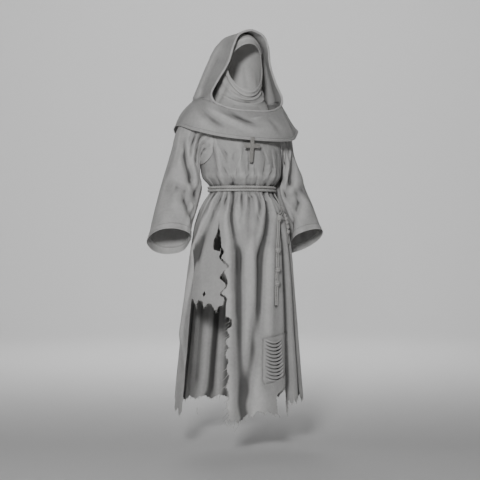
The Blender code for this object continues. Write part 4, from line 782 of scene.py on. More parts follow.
def cordMaterial(name, cord):  # twisted yarn: fine fibres laid over the strands' own shape
    made, tree, shader = nodeMaterial(name, (*cord["colour"], 1.0), cord["roughness"])
    shader.inputs["Sheen Weight"].default_value = 0.15
    shader.inputs["Sheen Roughness"].default_value = 0.5
    place = tree.nodes.new("ShaderNodeTexCoord")
    fibre = noiseNode(tree, place.outputs["Object"], 420.0, 4.0, 0.7)
    patch = noiseNode(tree, place.outputs["Object"], 30.0, 3.0, 0.6)
    mixed = mathNode(tree, "ADD", mathNode(tree, "MULTIPLY", fibre, 0.5), mathNode(tree, "MULTIPLY", patch, 0.5))
    ramp = tree.nodes.new("ShaderNodeValToRGB")
    ramp.color_ramp.elements[0].position = 0.32
    ramp.color_ramp.elements[0].color = (*cord["groove"], 1.0)
    ramp.color_ramp.elements[1].position = 0.62
    ramp.color_ramp.elements[1].color = (*cord["colour"], 1.0)
    tree.links.new(mixed, ramp.inputs["Fac"])
    tree.links.new(ramp.outputs["Color"], shader.inputs["Base Color"])
    hairy = tree.nodes.new("ShaderNodeBump")
    hairy.inputs["Strength"].default_value = 0.6
    hairy.inputs["Distance"].default_value = 0.0003
    tree.links.new(fibre, hairy.inputs["Height"])
    tree.links.new(hairy.outputs["Normal"], shader.inputs["Normal"])
    return made


woodFinish = {"colour": (0.30, 0.292, 0.28), "grain": (0.215, 0.208, 0.198), "roughness": 0.5}


def woodMaterial(name, wood):
    made, tree, shader = nodeMaterial(name, (*wood["colour"], 1.0), wood["roughness"])
    place = tree.nodes.new("ShaderNodeTexCoord")
    stretch = tree.nodes.new("ShaderNodeMapping")
    stretch.inputs["Scale"].default_value = (9.0, 9.0, 0.8)
    tree.links.new(place.outputs["Object"], stretch.inputs["Vector"])
    grain = noiseNode(tree, stretch.outputs["Vector"], 40.0, 6.0, 0.65)
    ramp = tree.nodes.new("ShaderNodeValToRGB")
    ramp.color_ramp.elements[0].position = 0.35
    ramp.color_ramp.elements[0].color = (*wood["grain"], 1.0)
    ramp.color_ramp.elements[1].position = 0.65
    ramp.color_ramp.elements[1].color = (*wood["colour"], 1.0)
    tree.links.new(grain, ramp.inputs["Fac"])
    tree.links.new(ramp.outputs["Color"], shader.inputs["Base Color"])
    rough = mathNode(tree, "MULTIPLY_ADD", grain, 0.25, wood["roughness"] - 0.12)
    tree.links.new(rough, shader.inputs["Roughness"])
    cut = tree.nodes.new("ShaderNodeBump")
    cut.inputs["Strength"].default_value = 0.5
    cut.inputs["Distance"].default_value = 0.0003
    tree.links.new(grain, cut.inputs["Height"])
    tree.links.new(cut.outputs["Normal"], shader.inputs["Normal"])
    return made


habitCloth = clothMaterial("habitWool", woollenCloth)
linen = clothMaterial("wimpleLinen", linenCloth)
yarn = cordMaterial("twistedYarn", cordFinish)
sewingThread, *_ = nodeMaterial("sewingThread", (0.26, 0.257, 0.25, 1.0), 0.7)
darkWood = woodMaterial("darkWood", woodFinish)
print("materials ready")

# Camera, light and floor come first

studio = {
    "distance": 4.8,
    "azimuth": -25.0,
    "drop": -0.561,
    "focal": 1147.0 / 480.0 * 36.0,
    "roomRadius": 9.0,
    "roomFillet": 3.0,
    "roomHeight": 7.0,
    "floorColour": (0.66, 0.66, 0.66),
    "worldLight": 0.04,
}


def buildStudio():
    turn = math.radians(studio["azimuth"])
    data = bpy.data.cameras.new("photoCamera")
    data.lens = studio["focal"]
    data.sensor_width = 36.0
    data.sensor_fit = "HORIZONTAL"
    camera = bpy.data.objects.new("photoCamera", data)
    camera.location = (studio["distance"] * math.sin(turn), -studio["distance"] * math.cos(turn), studio["drop"])
    camera.rotation_euler = (math.radians(90.0), 0.0, turn)
    bpy.context.scene.collection.objects.link(camera)
    bpy.context.scene.camera = camera

    world = bpy.data.worlds.new("softRoom")
    world.use_nodes = True
    world.node_tree.nodes["Background"].inputs["Color"].default_value = (1.0, 1.0, 1.0, 1.0)
    world.node_tree.nodes["Background"].inputs["Strength"].default_value = studio["worldLight"]
    bpy.context.scene.world = world

    lights = table(
        "x y z size power aimX aimY aimZ",
        (-2.6, -4.2, 0.85, 0.6, 186, 0.0, 0.0, -0.55),  # key, beside the camera and above it
        (0.6, 3.6, 1.8, 2.2, 25, 0.0, 0.0, -0.55),  # from behind, for the edges
        (1.2, 2.6, 3.4, 2.0, 360, 3.9, 8.4, -0.2),  # on the room's wall behind
    )
    for i, (x, y, z, size, power, *aimed) in enumerate(zip(*lights.values())):
        lamp = bpy.data.lights.new(f"softLight{i}", "AREA")
        lamp.energy = power
        lamp.size = size
        light = bpy.data.objects.new(f"softLight{i}", lamp)
        light.location = (x, y, z)
        aim = Vector(aimed) - light.location
        light.rotation_euler = aim.to_track_quat("-Z", "Y").to_euler()
        bpy.context.scene.collection.objects.link(light)

    # a round room: the floor turns up into the wall, so that there is no horizon
    radius, fillet, sides = studio["roomRadius"], studio["roomFillet"], 72
    bend = np.linspace(0.0, 0.5 * np.pi, 13)
    reach = [0.001, 2.0, 4.0, *(radius - fillet + fillet * np.sin(bend)), radius]
    rise = [0.0, 0.0, 0.0, *(fillet - fillet * np.cos(bend)), studio["roomHeight"]]
    turns = np.arange(sides) * 2 * np.pi / sides
    points = [(r * math.cos(t), r * math.sin(t), h - floorDrop) for r, h in zip(reach, rise) for t in turns]
    faces = []
    for row in range(len(reach) - 1):
        for i in range(sides):
            k = (i + 1) % sides
            faces.append((row * sides + i, row * sides + k, (row + 1) * sides + k, (row + 1) * sides + i))
    finish, tree, shader = nodeMaterial("paleFloor", (*studio["floorColour"], 1.0), 0.85)
    floor = meshObject("floor", points, faces, finish)


buildStudio()
print("studio ready")


def finishPiece(piece, slot, *nodes):
    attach(piece, "root")
    if nodes:
        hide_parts(*nodes)
    return piece


# Tunic


def armhole(side, start, end, count, grow=0.0):
    turns = np.radians(np.linspace(start, end, count))
    angle = side * (tunic["armholeAngle"] - (tunic["armholeSpread"] + 250 * grow) * np.cos(turns))
    return np.stack([angle, tunic["armholeHeight"] + (tunic["armholeRise"] + grow) * np.sin(turns)], axis=1)


def seamTurn(side, seam):
    return math.degrees(math.acos((tunic["armholeAngle"] - side * seam) / tunic["armholeSpread"]))


def seamAngle(angle, side):
    return angle + side * math.degrees(0.5 * tunic["seamGap"] / 0.11)


def ladderSlots():
    slots = []
    across = np.linspace(0.0, 1.0, 19)
    for row in range(tunic["ladderSlots"]):
        end = 1.6 * math.sin(2.4 * row)
        angle = tunic["ladderLeft"] + 0.5 * end + (tunic["ladderRight"] - tunic["ladderLeft"] - 0.8 * end) * across
        middle = tunic["ladderTop"] - row * tunic["ladderPitch"] - tunic["ladderSag"] * 4 * across * (1 - across)
        half = 0.5 * tunic["ladderGap"] * np.sqrt(np.clip(4 * across * (1 - across), 0.02, 1.0))
        under = np.stack([angle, middle - half], axis=1)
        over = np.stack([angle, middle + half], axis=1)[::-1]
        slots.append(np.concatenate([under, over]))
    return slots


def frayed(points, size, seed, rounded=True):  # a torn line of the flat cloth, with nicks of every size
    random = np.random.default_rng(seed)
    run = np.concatenate([[0.0], np.cumsum(np.linalg.norm(np.diff(points, axis=0) * flatScale, axis=1))])
    at = np.linspace(0.0, run[-1], int(run[-1] / 0.0036) + 1)
    line = np.stack([(through(run, points[:, i], at) if rounded else np.interp(at, run, points[:, i]))
                     for i in (0, 1)], axis=1)
    nicks = random.normal(0.0, size, (len(at), 2))
    for width, share in ((5, 2.6), (13, 6.5)):
        for i in (0, 1):
            nicks[:, i] += np.convolve(random.normal(0.0, share * size, len(at) + width - 1), np.ones(width) / width, "valid")
    nicks *= (ease(at / 0.014) * ease((run[-1] - at) / 0.014))[:, None]
    return line + nicks / flatScale


def gridRows(bands, left, right):
    points = []
    for low, high, rise, step in bands:
        count = int(round((right - left) / step))
        angles = left + (right - left) * np.arange(count + 1) / count
        for height in np.arange(low, high, rise):
            points += [(angle, height) for angle in angles]
    return points


def buildTunic():
    bands = [(0.150, 0.900, 0.0062, 1.35), (0.900, 1.000, 0.0045, 1.1), (1.000, 1.240, 0.0034, 0.95),
             (1.240, 1.436, 0.0062, 1.9)]
    turnRight, turnLeft = seamTurn(-1, tunic["rightSeam"]), seamTurn(1, tunic["leftSeam"])
    left, right = seamAngle(tunic["rightSeam"], 1), seamAngle(tunic["leftSeam"], -1)
    holeLeft = armhole(1, -turnLeft, turnLeft, 50)
    holeLeft[[0, -1], 0] = right
    holeRight = armhole(-1, turnRight, -turnRight, 50)
    holeRight[[0, -1], 0] = left
    thigh = columnsOf(tunic["thighEdge"], "angle", "height")
    thigh[0, 0] = left
    hem = columnsOf(tunic["frontHem"], "angle", "height")
    hem[-1, 0] = right
    torn = {
        "thigh": frayed(thigh, 0.0011, 3),
        "ripLeft": frayed(columnsOf(tunic["rip"], "left", "height")[::-1], 0.0009, 4),
        "ripRight": frayed(columnsOf(tunic["rip"], "right", "height"), 0.0009, 5),
        "edge": frayed(columnsOf(tunic["tornEdge"], "angle", "height"), 0.0010, 6),
        "hem": frayed(hem, 0.0010, 7, False),
    }
    outline = np.concatenate([
        torn["thigh"], torn["ripLeft"], torn["ripRight"][1:], torn["edge"], torn["hem"], holeLeft,
        [(right, tunic["neckHeight"]), (left, tunic["neckHeight"])], holeRight,
    ])
    diamond = [(-62.6, 0.660), (-61.4, 0.653), (-60.6, 0.649), (-59.2, 0.656), (-58.4, 0.661), (-60.4, 0.674)]
    grid = np.array(gridRows(bands, tunic["rightSeam"], tunic["leftSeam"]))
    low, high = np.array([-2.5, 0.290]), np.array([26.0, 0.502])  # a finer net where the ladder is
    grid = grid[((grid < low) | (grid > high)).any(axis=1)]
    fine = np.array(gridRows([(low[1] + 0.002, high[1], 0.0024, 0.72)], low[0] + 0.4, high[0] - 0.4))
    clear = np.concatenate([np.full(len(grid), 0.45), np.full(len(fine), 0.15)])
    front = panel("habitFront", tunicPlace, outline, np.concatenate([grid, fine]), (1.5, 0.0066), clothThick,
                  habitCloth, [*ladderSlots(), diamond], clear=clear)

    # two back panels with a seam down the middle
    hem = columnsOf(tunic["backHem"], "angle", "height")
    seam = tunic["backSeam"]
    middle = (seam, np.interp(seam, hem[:, 0], hem[:, 1]))
    bands = [(0.150, 1.000, 0.0075, 1.8), (1.000, 1.240, 0.0045, 1.6), (1.240, 1.436, 0.0075, 2.4)]
    neck = tunic["neckHeight"]

    left, right = seamAngle(tunic["leftSeam"], 1), seamAngle(seam, -1)
    holeLeft = armhole(1, turnLeft, 360 - turnLeft, 50)
    holeLeft[[0, -1], 0] = left
    edge = np.concatenate([hem[hem[:, 0] < seam], [middle]])
    edge[0, 0], edge[-1, 0] = left, right
    torn["backHemLeft"] = frayed(edge, 0.0010, 8, False)
    outline = np.concatenate([torn["backHemLeft"], [(right, neck), (left, neck)], holeLeft])
    grid = gridRows(bands, tunic["leftSeam"], seam)
    backLeft = panel("habitBackLeft", tunicPlace, outline, grid, (1.8, 0.0075), clothThick, habitCloth)

    left, right = seamAngle(seam, 1), seamAngle(tunic["rightSeam"] + 360, -1)
    holeRight = armhole(-1, -turnRight, turnRight - 360, 50)
    holeRight[:, 0] += 360
    holeRight[[0, -1], 0] = right
    edge = np.concatenate([[middle], hem[hem[:, 0] > seam]])
    edge[0, 0], edge[-1, 0] = left, right
    torn["backHemRight"] = frayed(edge, 0.0010, 9, False)
    outline = np.concatenate([torn["backHemRight"], holeRight, [(right, neck), (left, neck)]])
    grid = gridRows(bands, seam, tunic["rightSeam"] + 360)
    backRight = panel("habitBackRight", tunicPlace, outline, grid, (1.8, 0.0075), clothThick, habitCloth)
    return front, backLeft, backRight, torn


habitFront, backLeft, backRight, tornLines = buildTunic()
tunicPanels = [habitFront, backLeft, backRight]
print("tunic", *(len(cloth.data.polygons) for cloth in tunicPanels))
finishPiece(habitFront, "habit_cloth", "tunic_front")
finishPiece(backLeft, "habit_cloth", "tunic_back_left")
finishPiece(backRight, "habit_cloth", "tunic_back_right")

# Sleeves

sleeve = {
    "columns": 110,
    "cuffLean": 0.010,
    "hem": 0.945,
    "stations": table(
        "along x y z outX outZ frontY frontZ",
        (0.10, 0.194, 0.024, -0.150, 0.034, 0.104, -0.068, 0.000),
        (0.20, 0.202, 0.038, -0.185, 0.060, 0.082, -0.068, 0.000),
        (0.34, 0.210, 0.050, -0.245, 0.073, 0.054, -0.074, 0.010),
        (0.52, 0.237, 0.050, -0.335, 0.083, 0.034, -0.082, 0.020),
        (0.76, 0.276, 0.035, -0.455, 0.089, 0.022, -0.088, 0.036),
        (1.00, 0.310, 0.015, -0.567, 0.090, 0.015, -0.088, 0.050),
    ),
    "folds": table(
        "around along lowAround lowAlong width depth",
        (20, 0.10, 30, 0.34, 7.0, -0.005),
        (42, 0.30, 90, 0.505, 8.0, -0.010),
        (90, 0.505, 130, 0.62, 8.0, -0.008),
        (62, 0.30, 108, 0.50, 7.0, 0.005),
        (62, 0.06, 70, 0.30, 5.0, -0.005),
        (78, 0.06, 88, 0.32, 5.0, -0.006),
        (94, 0.06, 104, 0.30, 5.0, -0.006),
        (110, 0.06, 118, 0.26, 5.0, -0.005),
        (30, 0.53, 110, 0.585, 9.0, 0.008),
        (30, 0.595, 116, 0.635, 9.0, -0.010),
        (86, 0.69, 145, 0.875, 9.0, -0.009),
        (66, 0.74, 122, 0.94, 9.0, 0.006),
        (-36, 0.10, -44, 0.90, 9.0, -0.004),
        (-64, 0.10, -62, 0.60, 9.0, -0.007),
        (-100, 0.54, -40, 0.66, 9.0, -0.006),
        (180, 0.30, 170, 0.80, 9.0, -0.004),
    ),
    "creases": table(
        "around along lowAround lowAlong width depth",
        (56, 0.06, 60, 0.24, 2.4, -0.0040),
        (66, 0.05, 72, 0.34, 2.4, -0.0045),
        (74, 0.05, 79, 0.22, 2.4, 0.0035),
        (84, 0.05, 92, 0.36, 2.4, -0.0045),
        (92, 0.05, 97, 0.24, 2.2, 0.0030),
        (102, 0.05, 110, 0.30, 2.4, -0.0040),
        (114, 0.06, 122, 0.24, 2.4, -0.0035),
        (42, 0.33, 90, 0.505, 2.8, -0.0050),
        (90, 0.505, 128, 0.62, 2.8, -0.0045),
        (50, 0.605, 110, 0.632, 2.6, -0.0025),
        (86, 0.69, 112, 0.80, 3.0, -0.0045),
        (112, 0.80, 145, 0.875, 3.0, -0.0035),
        (80, 0.36, 115, 0.565, 2.6, 0.0035),
        (10, 0.16, 14, 0.48, 3.6, -0.0035),
        (-14, 0.12, -16, 0.36, 3.4, 0.0035),
        (-44, 0.08, -46, 0.40, 3.2, -0.0045),
        (-78, 0.08, -74, 0.36, 3.2, -0.0045),
        (-96, 0.10, -88, 0.44, 3.2, 0.0035),
        (-92, 0.58, -40, 0.63, 3.0, -0.0045),
        (-80, 0.66, -30, 0.71, 3.0, -0.0035),
        (-20, 0.66, -12, 0.93, 4.0, -0.0035),
        (140, 0.40, 150, 0.86, 4.0, -0.0035),
        (120, 0.70, 112, 0.95, 3.6, 0.0035),
    ),
}


def armholeRing(side, around):
    turns = np.radians(90.0 - around)
    grow = 0.002
    angle = side * (tunic["armholeAngle"] - (tunic["armholeSpread"] + 250 * grow) * np.cos(turns))
    height = tunic["armholeHeight"] + (tunic["armholeRise"] + grow) * np.sin(turns)
    out = normalsOf(bodyForm, angle, height, 0.2, 0.002)
    return tunicPlace(angle, height) + out * 0.0014


def clearOfTunic(points, gap):
    levels = tunic["levels"]
    height = points[:, 2] + floorDrop
    row = {name: through(levels["height"], levels[name], height) for name in levels}
    x, y = points[:, 0] - row["centreX"], points[:, 1] - row["centreY"]
    depth = np.where(y < 0, row["front"], row["back"])
    reach = np.maximum(np.hypot(x / (row["halfWidth"] + gap), y / (depth + gap)), 0.2)
    soft = 1.0 + np.clip(reach - 0.85, 0.0, 0.3) ** 2 / 0.6
    push = np.where((reach > 1.15) | (height > tunic["neckHeight"]), reach, soft) / reach
    moved = points.copy()
    moved[:, 0] += x * (push - 1.0)
    moved[:, 1] += y * (push - 1.0)
    return moved


def sleevePlace(side):
    lean = sleeve["cuffLean"] if side > 0 else 0.0
    stations = sleeve["stations"]

    def form(around, along):
        turn = np.radians(around)
        out, front = np.cos(turn), np.sin(turn)
        rings = [armholeRing(side, around)]
        for k in range(len(stations["along"])):
            row = {name: stations[name][k] for name in stations}
            x = side * (row["x"] - lean + row["outX"] * out)
            y = row["y"] + row["frontY"] * front
            z = row["z"] + row["outZ"] * out + row["frontZ"] * front
            rings.append(np.stack([x + 0 * turn, y, z], axis=1))
        points = throughRings([0.0, *stations["along"]], rings, along)
        besideBelt = np.exp(-(((points[:, 2] + floorDrop - tunic["beltHeight"]) / 0.05) ** 2))
        gap = 0.002 + 0.014 * ease(along / 0.25) + 0.020 * besideBelt
        fade = ease(along / 0.03)[:, None]
        return clearOfTunic(points, gap) * fade + points * (1 - fade)

    def folded(around, along):
        around, along = np.asarray(around, float), np.asarray(along, float)
        wrapped = (around + 150.0) % 360.0 - 150.0
        out = normalsOf(form, around, along, 0.5, 0.004) * side
        depth = creased(sleeve["folds"], wrapped, along, 120.0)
        depth += 1.9 * creased(sleeve["creases"], wrapped, along, 120.0, True) * ease((along - 0.02) / 0.06)
        depth *= 1.0 - 0.85 * bump(wrapped, 0.0, 26.0)
        depth += 0.0010 * np.sin(np.radians(5 * wrapped)) * np.sin(11 * along) * ease(along / 0.2)
        # the turned hem: doubled cloth, a stitched line above it and a round edge
        doubled = ease((along - sleeve["hem"]) / 0.004)
        depth += 0.0018 * doubled - 0.0016 * bump(along, sleeve["hem"], 0.0040)
        depth += 0.0016 * bump(along, 0.994, 0.007)
        return form(around, along) + out * depth[:, None]

    return folded


def buildSleeve(name, side):
    rows = [*np.linspace(0.0, 0.93, 96), *np.linspace(0.933, 1.0, 30)]
    over = skinsOf(tunicPanels)
    return tube(name, sleevePlace(side), sleeve["columns"], np.array(rows), clothThick, habitCloth,
                flip=side < 0, deltas=(0.5, 0.0015), over=over, gap=0.0012)


sleeveRight = finishPiece(buildSleeve("habitSleeveRight", -1), "habit_cloth", "sleeve_right")
sleeveLeft = finishPiece(buildSleeve("habitSleeveLeft", 1), "habit_cloth", "sleeve_left")
print("sleeves", len(sleeveRight.data.polygons))

# Cape

neckLine = table(
    "angle x y z",
    (0, 0.000, -0.136, -0.038),
    (17, 0.050, -0.131, -0.037),
    (35, 0.102, -0.115, -0.029),
    (54, 0.155, -0.077, -0.004),
    (75, 0.1785, -0.015, 0.016),
    (90, 0.183, 0.030, 0.020),
    (110, 0.176, 0.095, 0.022),
    (130, 0.145, 0.150, 0.022),
    (155, 0.080, 0.192, 0.021),
    (180, 0.000, 0.205, 0.020),
)

cape = {
    "halfWidth": 0.266,
    "front": 0.217,
    "back": 0.190,
    "centreY": 0.050,
    "swell": 0.012,
    "corner": 0.010,
    "thick": 0.0025,
    "hemLine": table(
        "angle height",
        (-180, 1.275),
        (-135, 1.302),
        (-110, 1.335),
        (-86, 1.348),
        (-60, 1.322),
        (-32, 1.295),
        (0, 1.282),
        (30, 1.285),
        (50, 1.296),
        (70, 1.337),
        (95, 1.342),
        (115, 1.328),
        (140, 1.300),
        (180, 1.275),
    ),
    "folds": table(
        "angle along lowAngle lowAlong width depth",
        (-76, 0.10, -24, 0.86, 7.0, -0.008),
        (-62, 0.08, 4, 0.80, 6.5, 0.014),
        (-42, 0.04, 12, 0.62, 5.5, -0.006),
        (2, 0.17, 5, 0.28, 7.0, 0.005),
        (16, 0.10, 31, 0.95, 4.0, -0.003),
        (52, 0.10, 62, 1.00, 5.0, -0.006),
        (-80, 0.20, -92, 1.00, 8.0, -0.005),
        (120, 0.10, 128, 1.00, 8.0, -0.008),
        (152, 0.20, 150, 1.00, 8.0, 0.006),
        (178, 0.10, 184, 1.00, 8.0, -0.008),
        (208, 0.20, 205, 1.00, 8.0, 0.006),
        (236, 0.10, 230, 1.00, 8.0, -0.008),
    ),
    "creases": table(
        "angle along lowAngle lowAlong width depth",
        (56, 0.12, 58, 0.95, 3.4, -0.0035),
        (100, 0.10, 104, 0.70, 3.4, -0.0040),
        (140, 0.20, 142, 0.95, 3.6, -0.0045),
        (164, 0.10, 162, 0.80, 3.4, -0.0045),
        (196, 0.20, 197, 0.95, 3.6, -0.0045),
        (222, 0.10, 219, 0.80, 3.4, -0.0040),
        (252, 0.10, 250, 0.75, 3.4, -0.0040),
    ),
}


def neckPlace(angle, smooth=True):
    angle = (np.asarray(angle, float) + 180.0) % 360.0 - 180.0
    x, y, z = (through(neckLine["angle"], neckLine[name], np.abs(angle)) for name in "xyz")
    return np.stack([np.sign(angle) * x, y, z], axis=1)


def capeForm(angle, along):
    turn = np.radians(angle)
    wrapped = (np.asarray(angle, float) + 180.0) % 360.0 - 180.0
    depth = np.where(np.cos(turn) > 0, cape["front"], cape["back"])
    hemZ = through(cape["hemLine"]["angle"], cape["hemLine"]["height"], wrapped) - floorDrop
    hem = np.stack([cape["halfWidth"] * np.sin(turn), cape["centreY"] - depth * np.cos(turn), hemZ], axis=1)
    neck = neckPlace(angle)
    t = np.asarray(along, float)[:, None]
    away = np.stack([np.sin(turn), -np.cos(turn), 0.4 + 0 * turn], axis=1)
    # the wearer's left side falls straight to a pointed corner
    corner = bump(wrapped, 74.0, 22.0)
    swell = cape["swell"] * (1 - 0.9 * corner) * np.sin(np.pi * np.clip(t[:, 0], 0, 1)) + cape["corner"] * corner * t[:, 0] ** 3
    return neck + (hem - neck) * t + away * swell[:, None]


def capePlace(angle, along):
    angle, along = np.asarray(angle, float), np.asarray(along, float)
    wrapped = (angle + 110.0) % 360.0 - 110.0
    out = -normalsOf(capeForm, angle, along, 0.5, 0.01)
    depth = ease(along / 0.12) * creased(cape["folds"], wrapped, along, 60.0, fading=0.45)
    depth += ease(along / 0.12) * creased(cape["creases"], wrapped, along, 60.0, True)
    # turned hem with its stitched line
    depth += 0.0012 * ease((along - 0.90) / 0.012) - 0.0010 * bump(along, 0.90, 0.010) + 0.0012 * bump(along, 0.988, 0.014)
    return capeForm(angle, along) + out * depth[:, None]


def buildCape():
    over = skinsOf([*tunicPanels, sleeveRight, sleeveLeft])
    rows = [*np.linspace(0.0, 0.87, 26), *np.linspace(0.882, 1.0, 13)]
    made = []
    for name, start, end in (("capeFront", -90.0, 90.0), ("capeBack", 90.0, 270.0)):
        left, right = seamAngle(start, 1), seamAngle(end, -1)
        columns = np.linspace(left, right, 121)
        outline = [(angle, 0.0) for angle in columns]
        outline += [(right, along) for along in rows[1:]]
        outline += [(angle, 1.0) for angle in columns[-2::-1]]
        outline += [(left, along) for along in rows[-2:0:-1]]
        grid = [(angle, along) for along in rows for angle in columns]
        made.append(panel(name, capePlace, outline, grid, (1.5, 0.02), cape["thick"], habitCloth,
                          flip=True, deltas=(0.5, 0.004), over=over, gap=0.0012, metres=(0.0040, 0.16)))
    return made


capeFront, capeBack = buildCape()
finishPiece(capeFront, "habit_cloth", "cape_front")
finishPiece(capeBack, "habit_cloth", "cape_back")
print("cape", len(capeFront.data.polygons))

# Hood

hood = {
    "corner": 54.0,
    "edgeRadius": 0.0046,
    "parts": 0.0003,
    "rings": table(
        "up edgeX edgeY edgeZ wide midY backY backZ lift",
        (0.10, 0.1635, -0.066, 0.026, 0.180, 0.045, 0.202, 0.044, 0.004),
        (0.28, 0.1395, -0.063, 0.081, 0.163, 0.035, 0.180, 0.100, 0.000),
        (0.54, 0.0963, -0.086, 0.165, 0.132, 0.025, 0.152, 0.178, 0.000),
        (0.76, 0.0760, -0.103, 0.241, 0.098, 0.015, 0.124, 0.238, 0.004),
        (0.90, 0.0500, -0.104, 0.283, 0.058, 0.010, 0.104, 0.264, 0.010),
        (1.00, 0.0000, -0.105, 0.302, 0.000, 0.005, 0.090, 0.276, 0.014),
    ),
    "folds": table(
        "back up lowBack lowUp width depth",
        (0.16, 0.80, 0.22, 0.08, 0.12, -0.006),
        (0.40, 0.74, 0.44, 0.10, 0.12, 0.005),
        (0.62, 0.70, 0.66, 0.06, 0.12, -0.006),
        (0.86, 0.66, 0.88, 0.06, 0.11, 0.005),
    ),
    "creases": table(
        "back up lowBack lowUp width depth",
        (0.27, 0.60, 0.30, 0.05, 0.060, -0.0025),
        (0.48, 0.70, 0.52, 0.05, 0.050, -0.0030),
        (0.70, 0.60, 0.74, 0.05, 0.040, -0.0035),
        (0.20, 0.90, 0.60, 0.78, 0.040, -0.0025),
    ),
}


def hoodPlace(side):
    rings = hood["rings"]

    def form(back, up):
        base = neckPlace(side * (hood["corner"] + (180.0 - hood["corner"]) * np.clip(back, 0, 1)))
        base[:, 2] += lyingGap
        stack = [base]
        for k in range(len(rings["up"])):
            row = {name: rings[name][k] for name in rings}
            front = np.clip(back / 0.4, -1, 1)
            rear = np.clip((back - 0.4) / 0.6, 0, 1.1)
            x = row["edgeX"] + (row["wide"] - row["edgeX"]) * np.sin(front * np.pi / 2)
            x = np.where(back > 0.4, row["wide"] * np.cos(rear * np.pi / 2), x)
            y = row["edgeY"] + (row["midY"] - row["edgeY"]) * front
            y += (row["backY"] - row["midY"]) * np.sin(rear * np.pi / 2)
            z = row["edgeZ"] + (row["backZ"] - row["edgeZ"]) * back
            z += row["lift"] * np.sin(np.pi * back)
            stack.append(np.stack([side * x, y, z], axis=1))
        return throughRings([0.0, *rings["up"]], stack, up)

    def folded(back, up):
        back, up = np.asarray(back, float), np.asarray(up, float)
        out = normalsOf(form, back, up, 0.01, 0.01) * side
        fade = ease(up / 0.08) * ease((1.0 - up) / 0.15) * ease(back / 0.08) * ease((1.0 - back) / 0.08)
        depth = fade * (creased(hood["folds"], back, up, 0.6) + creased(hood["creases"], back, up, 0.6))
        # the line where the hood is sewn to the cape, and the one behind its rolled edge
        depth -= 0.0010 * bump(up, 0.022, 0.010) + 0.0010 * bump(back, 0.045, 0.010)
        points = form(back, up) + out * depth[:, None]
        points[:, 0] += side * 0.5 * hood["parts"]
        return points

    return folded


def buildHood():
    backs = np.concatenate([np.linspace(0, 0.10, 13)[:-1], np.linspace(0.10, 0.92, 42)[:-1], np.linspace(0.92, 1.0, 6)])
    ups = np.concatenate([np.linspace(0, 0.06, 7)[:-1], np.linspace(0.06, 1.0, 56)])
    made = []
    for name, side in (("hoodRight", -1), ("hoodLeft", 1)):
        outline = [(back, 0.0) for back in backs]
        outline += [(1.0, up) for up in ups[1:]]
        outline += [(back, 1.0) for back in backs[-2::-1]]
        outline += [(0.0, up) for up in ups[-2:0:-1]]
        grid = [(back, up) for up in ups for back in backs]
        made.append(panel(name, hoodPlace(side), outline, grid, (0.02, 0.017), clothThick, habitCloth,
                          flip=side < 0, deltas=(0.004, 0.004), metres=(0.33, 0.36)))
    return made


def joined(name, pieces, finish):  # several runs of points and faces as one mesh
    points, faces, start = [], [], 0
    for run, sides in pieces:
        points.append(run)
        faces += [tuple(i + start for i in side) for side in sides]
        start += len(run)
    made = meshObject(name, np.concatenate(points), faces, finish)
    made.data.set_sharp_from_angle(angle=math.radians(60))
    return made


def alongOf(points, closed=False):
    if closed:
        way = np.roll(points, -1, axis=0) - np.roll(points, 1, axis=0)
    else:
        way = np.gradient(points, axis=0)
    return unit(way)


def resampled(points, step, closed=False):
    if closed:
        points = np.concatenate([points, points[:1]])
    span = np.concatenate([[0.0], np.cumsum(np.linalg.norm(np.diff(points, axis=0), axis=1))])
    count = max(3, int(round(span[-1] / step)))
    at = np.linspace(0.0, span[-1], count + 1)
    if closed:
        at = at[:-1]
    return np.stack([np.interp(at, span, points[:, i]) for i in range(3)], axis=1)


def smoothed(points, rounds, closed=False):
    points = points.copy()
    for _ in range(rounds):
        middle = (np.roll(points, 1, axis=0) + np.roll(points, -1, axis=0)) / 2
        if not closed:
            middle[0], middle[-1] = points[0], points[-1]
        points = 0.5 * points + 0.5 * middle
    return points


def swept(points, across, up, wide, thick, sides=10, closed=False):  # a round or flattened cord along its line
    turns = np.arange(sides) * 2 * np.pi / sides
    wide, thick = np.broadcast_to(wide, len(points)), np.broadcast_to(thick, len(points))
    ring = wide[:, None, None] * np.cos(turns)[None, :, None] * across[:, None, :]
    ring = ring + thick[:, None, None] * np.sin(turns)[None, :, None] * up[:, None, :]
    skin = (points[:, None, :] + ring).reshape(-1, 3)
    count = len(points)
    faces = []
    for j in range(count if closed else count - 1):
        n = (j + 1) % count
        for i in range(sides):
            k = (i + 1) % sides
            faces.append((j * sides + i, j * sides + k, n * sides + k, n * sides + i))
    if not closed:
        faces += [tuple(range(sides))[::-1], tuple(range((count - 1) * sides, count * sides))]
    return skin, faces


def frameOf(points, out, closed=False):
    along = alongOf(points, closed)
    across = unit(np.cross(out, along))
    return across, unit(np.cross(along, across))


def strands(points, across, up, radius, count, turnLength, closed=False, wide=1.0, sides=7):
    # strands wound round each other, as rope is laid
    step = np.linalg.norm(np.diff(points, axis=0, append=points[:1] if closed else points[-1:]), axis=1)
    run = np.concatenate([[0.0], np.cumsum(step)])
    total = run[-1]
    turns = max(1, round(total / turnLength)) if closed else total / turnLength
    phase = 2 * np.pi * turns * run[:-1] / total
    made = []
    thick = radius * (0.54 if count == 3 else 0.50)
    for s in range(count):
        turn = phase + 2 * np.pi * s / count
        way = np.cos(turn)[:, None] * across * wide + np.sin(turn)[:, None] * up
        line = points + way * (radius - thick)
        own, other = frameOf(line, up, closed)
        made.append(swept(line, own, other, thick, thick, sides, closed))
    return made


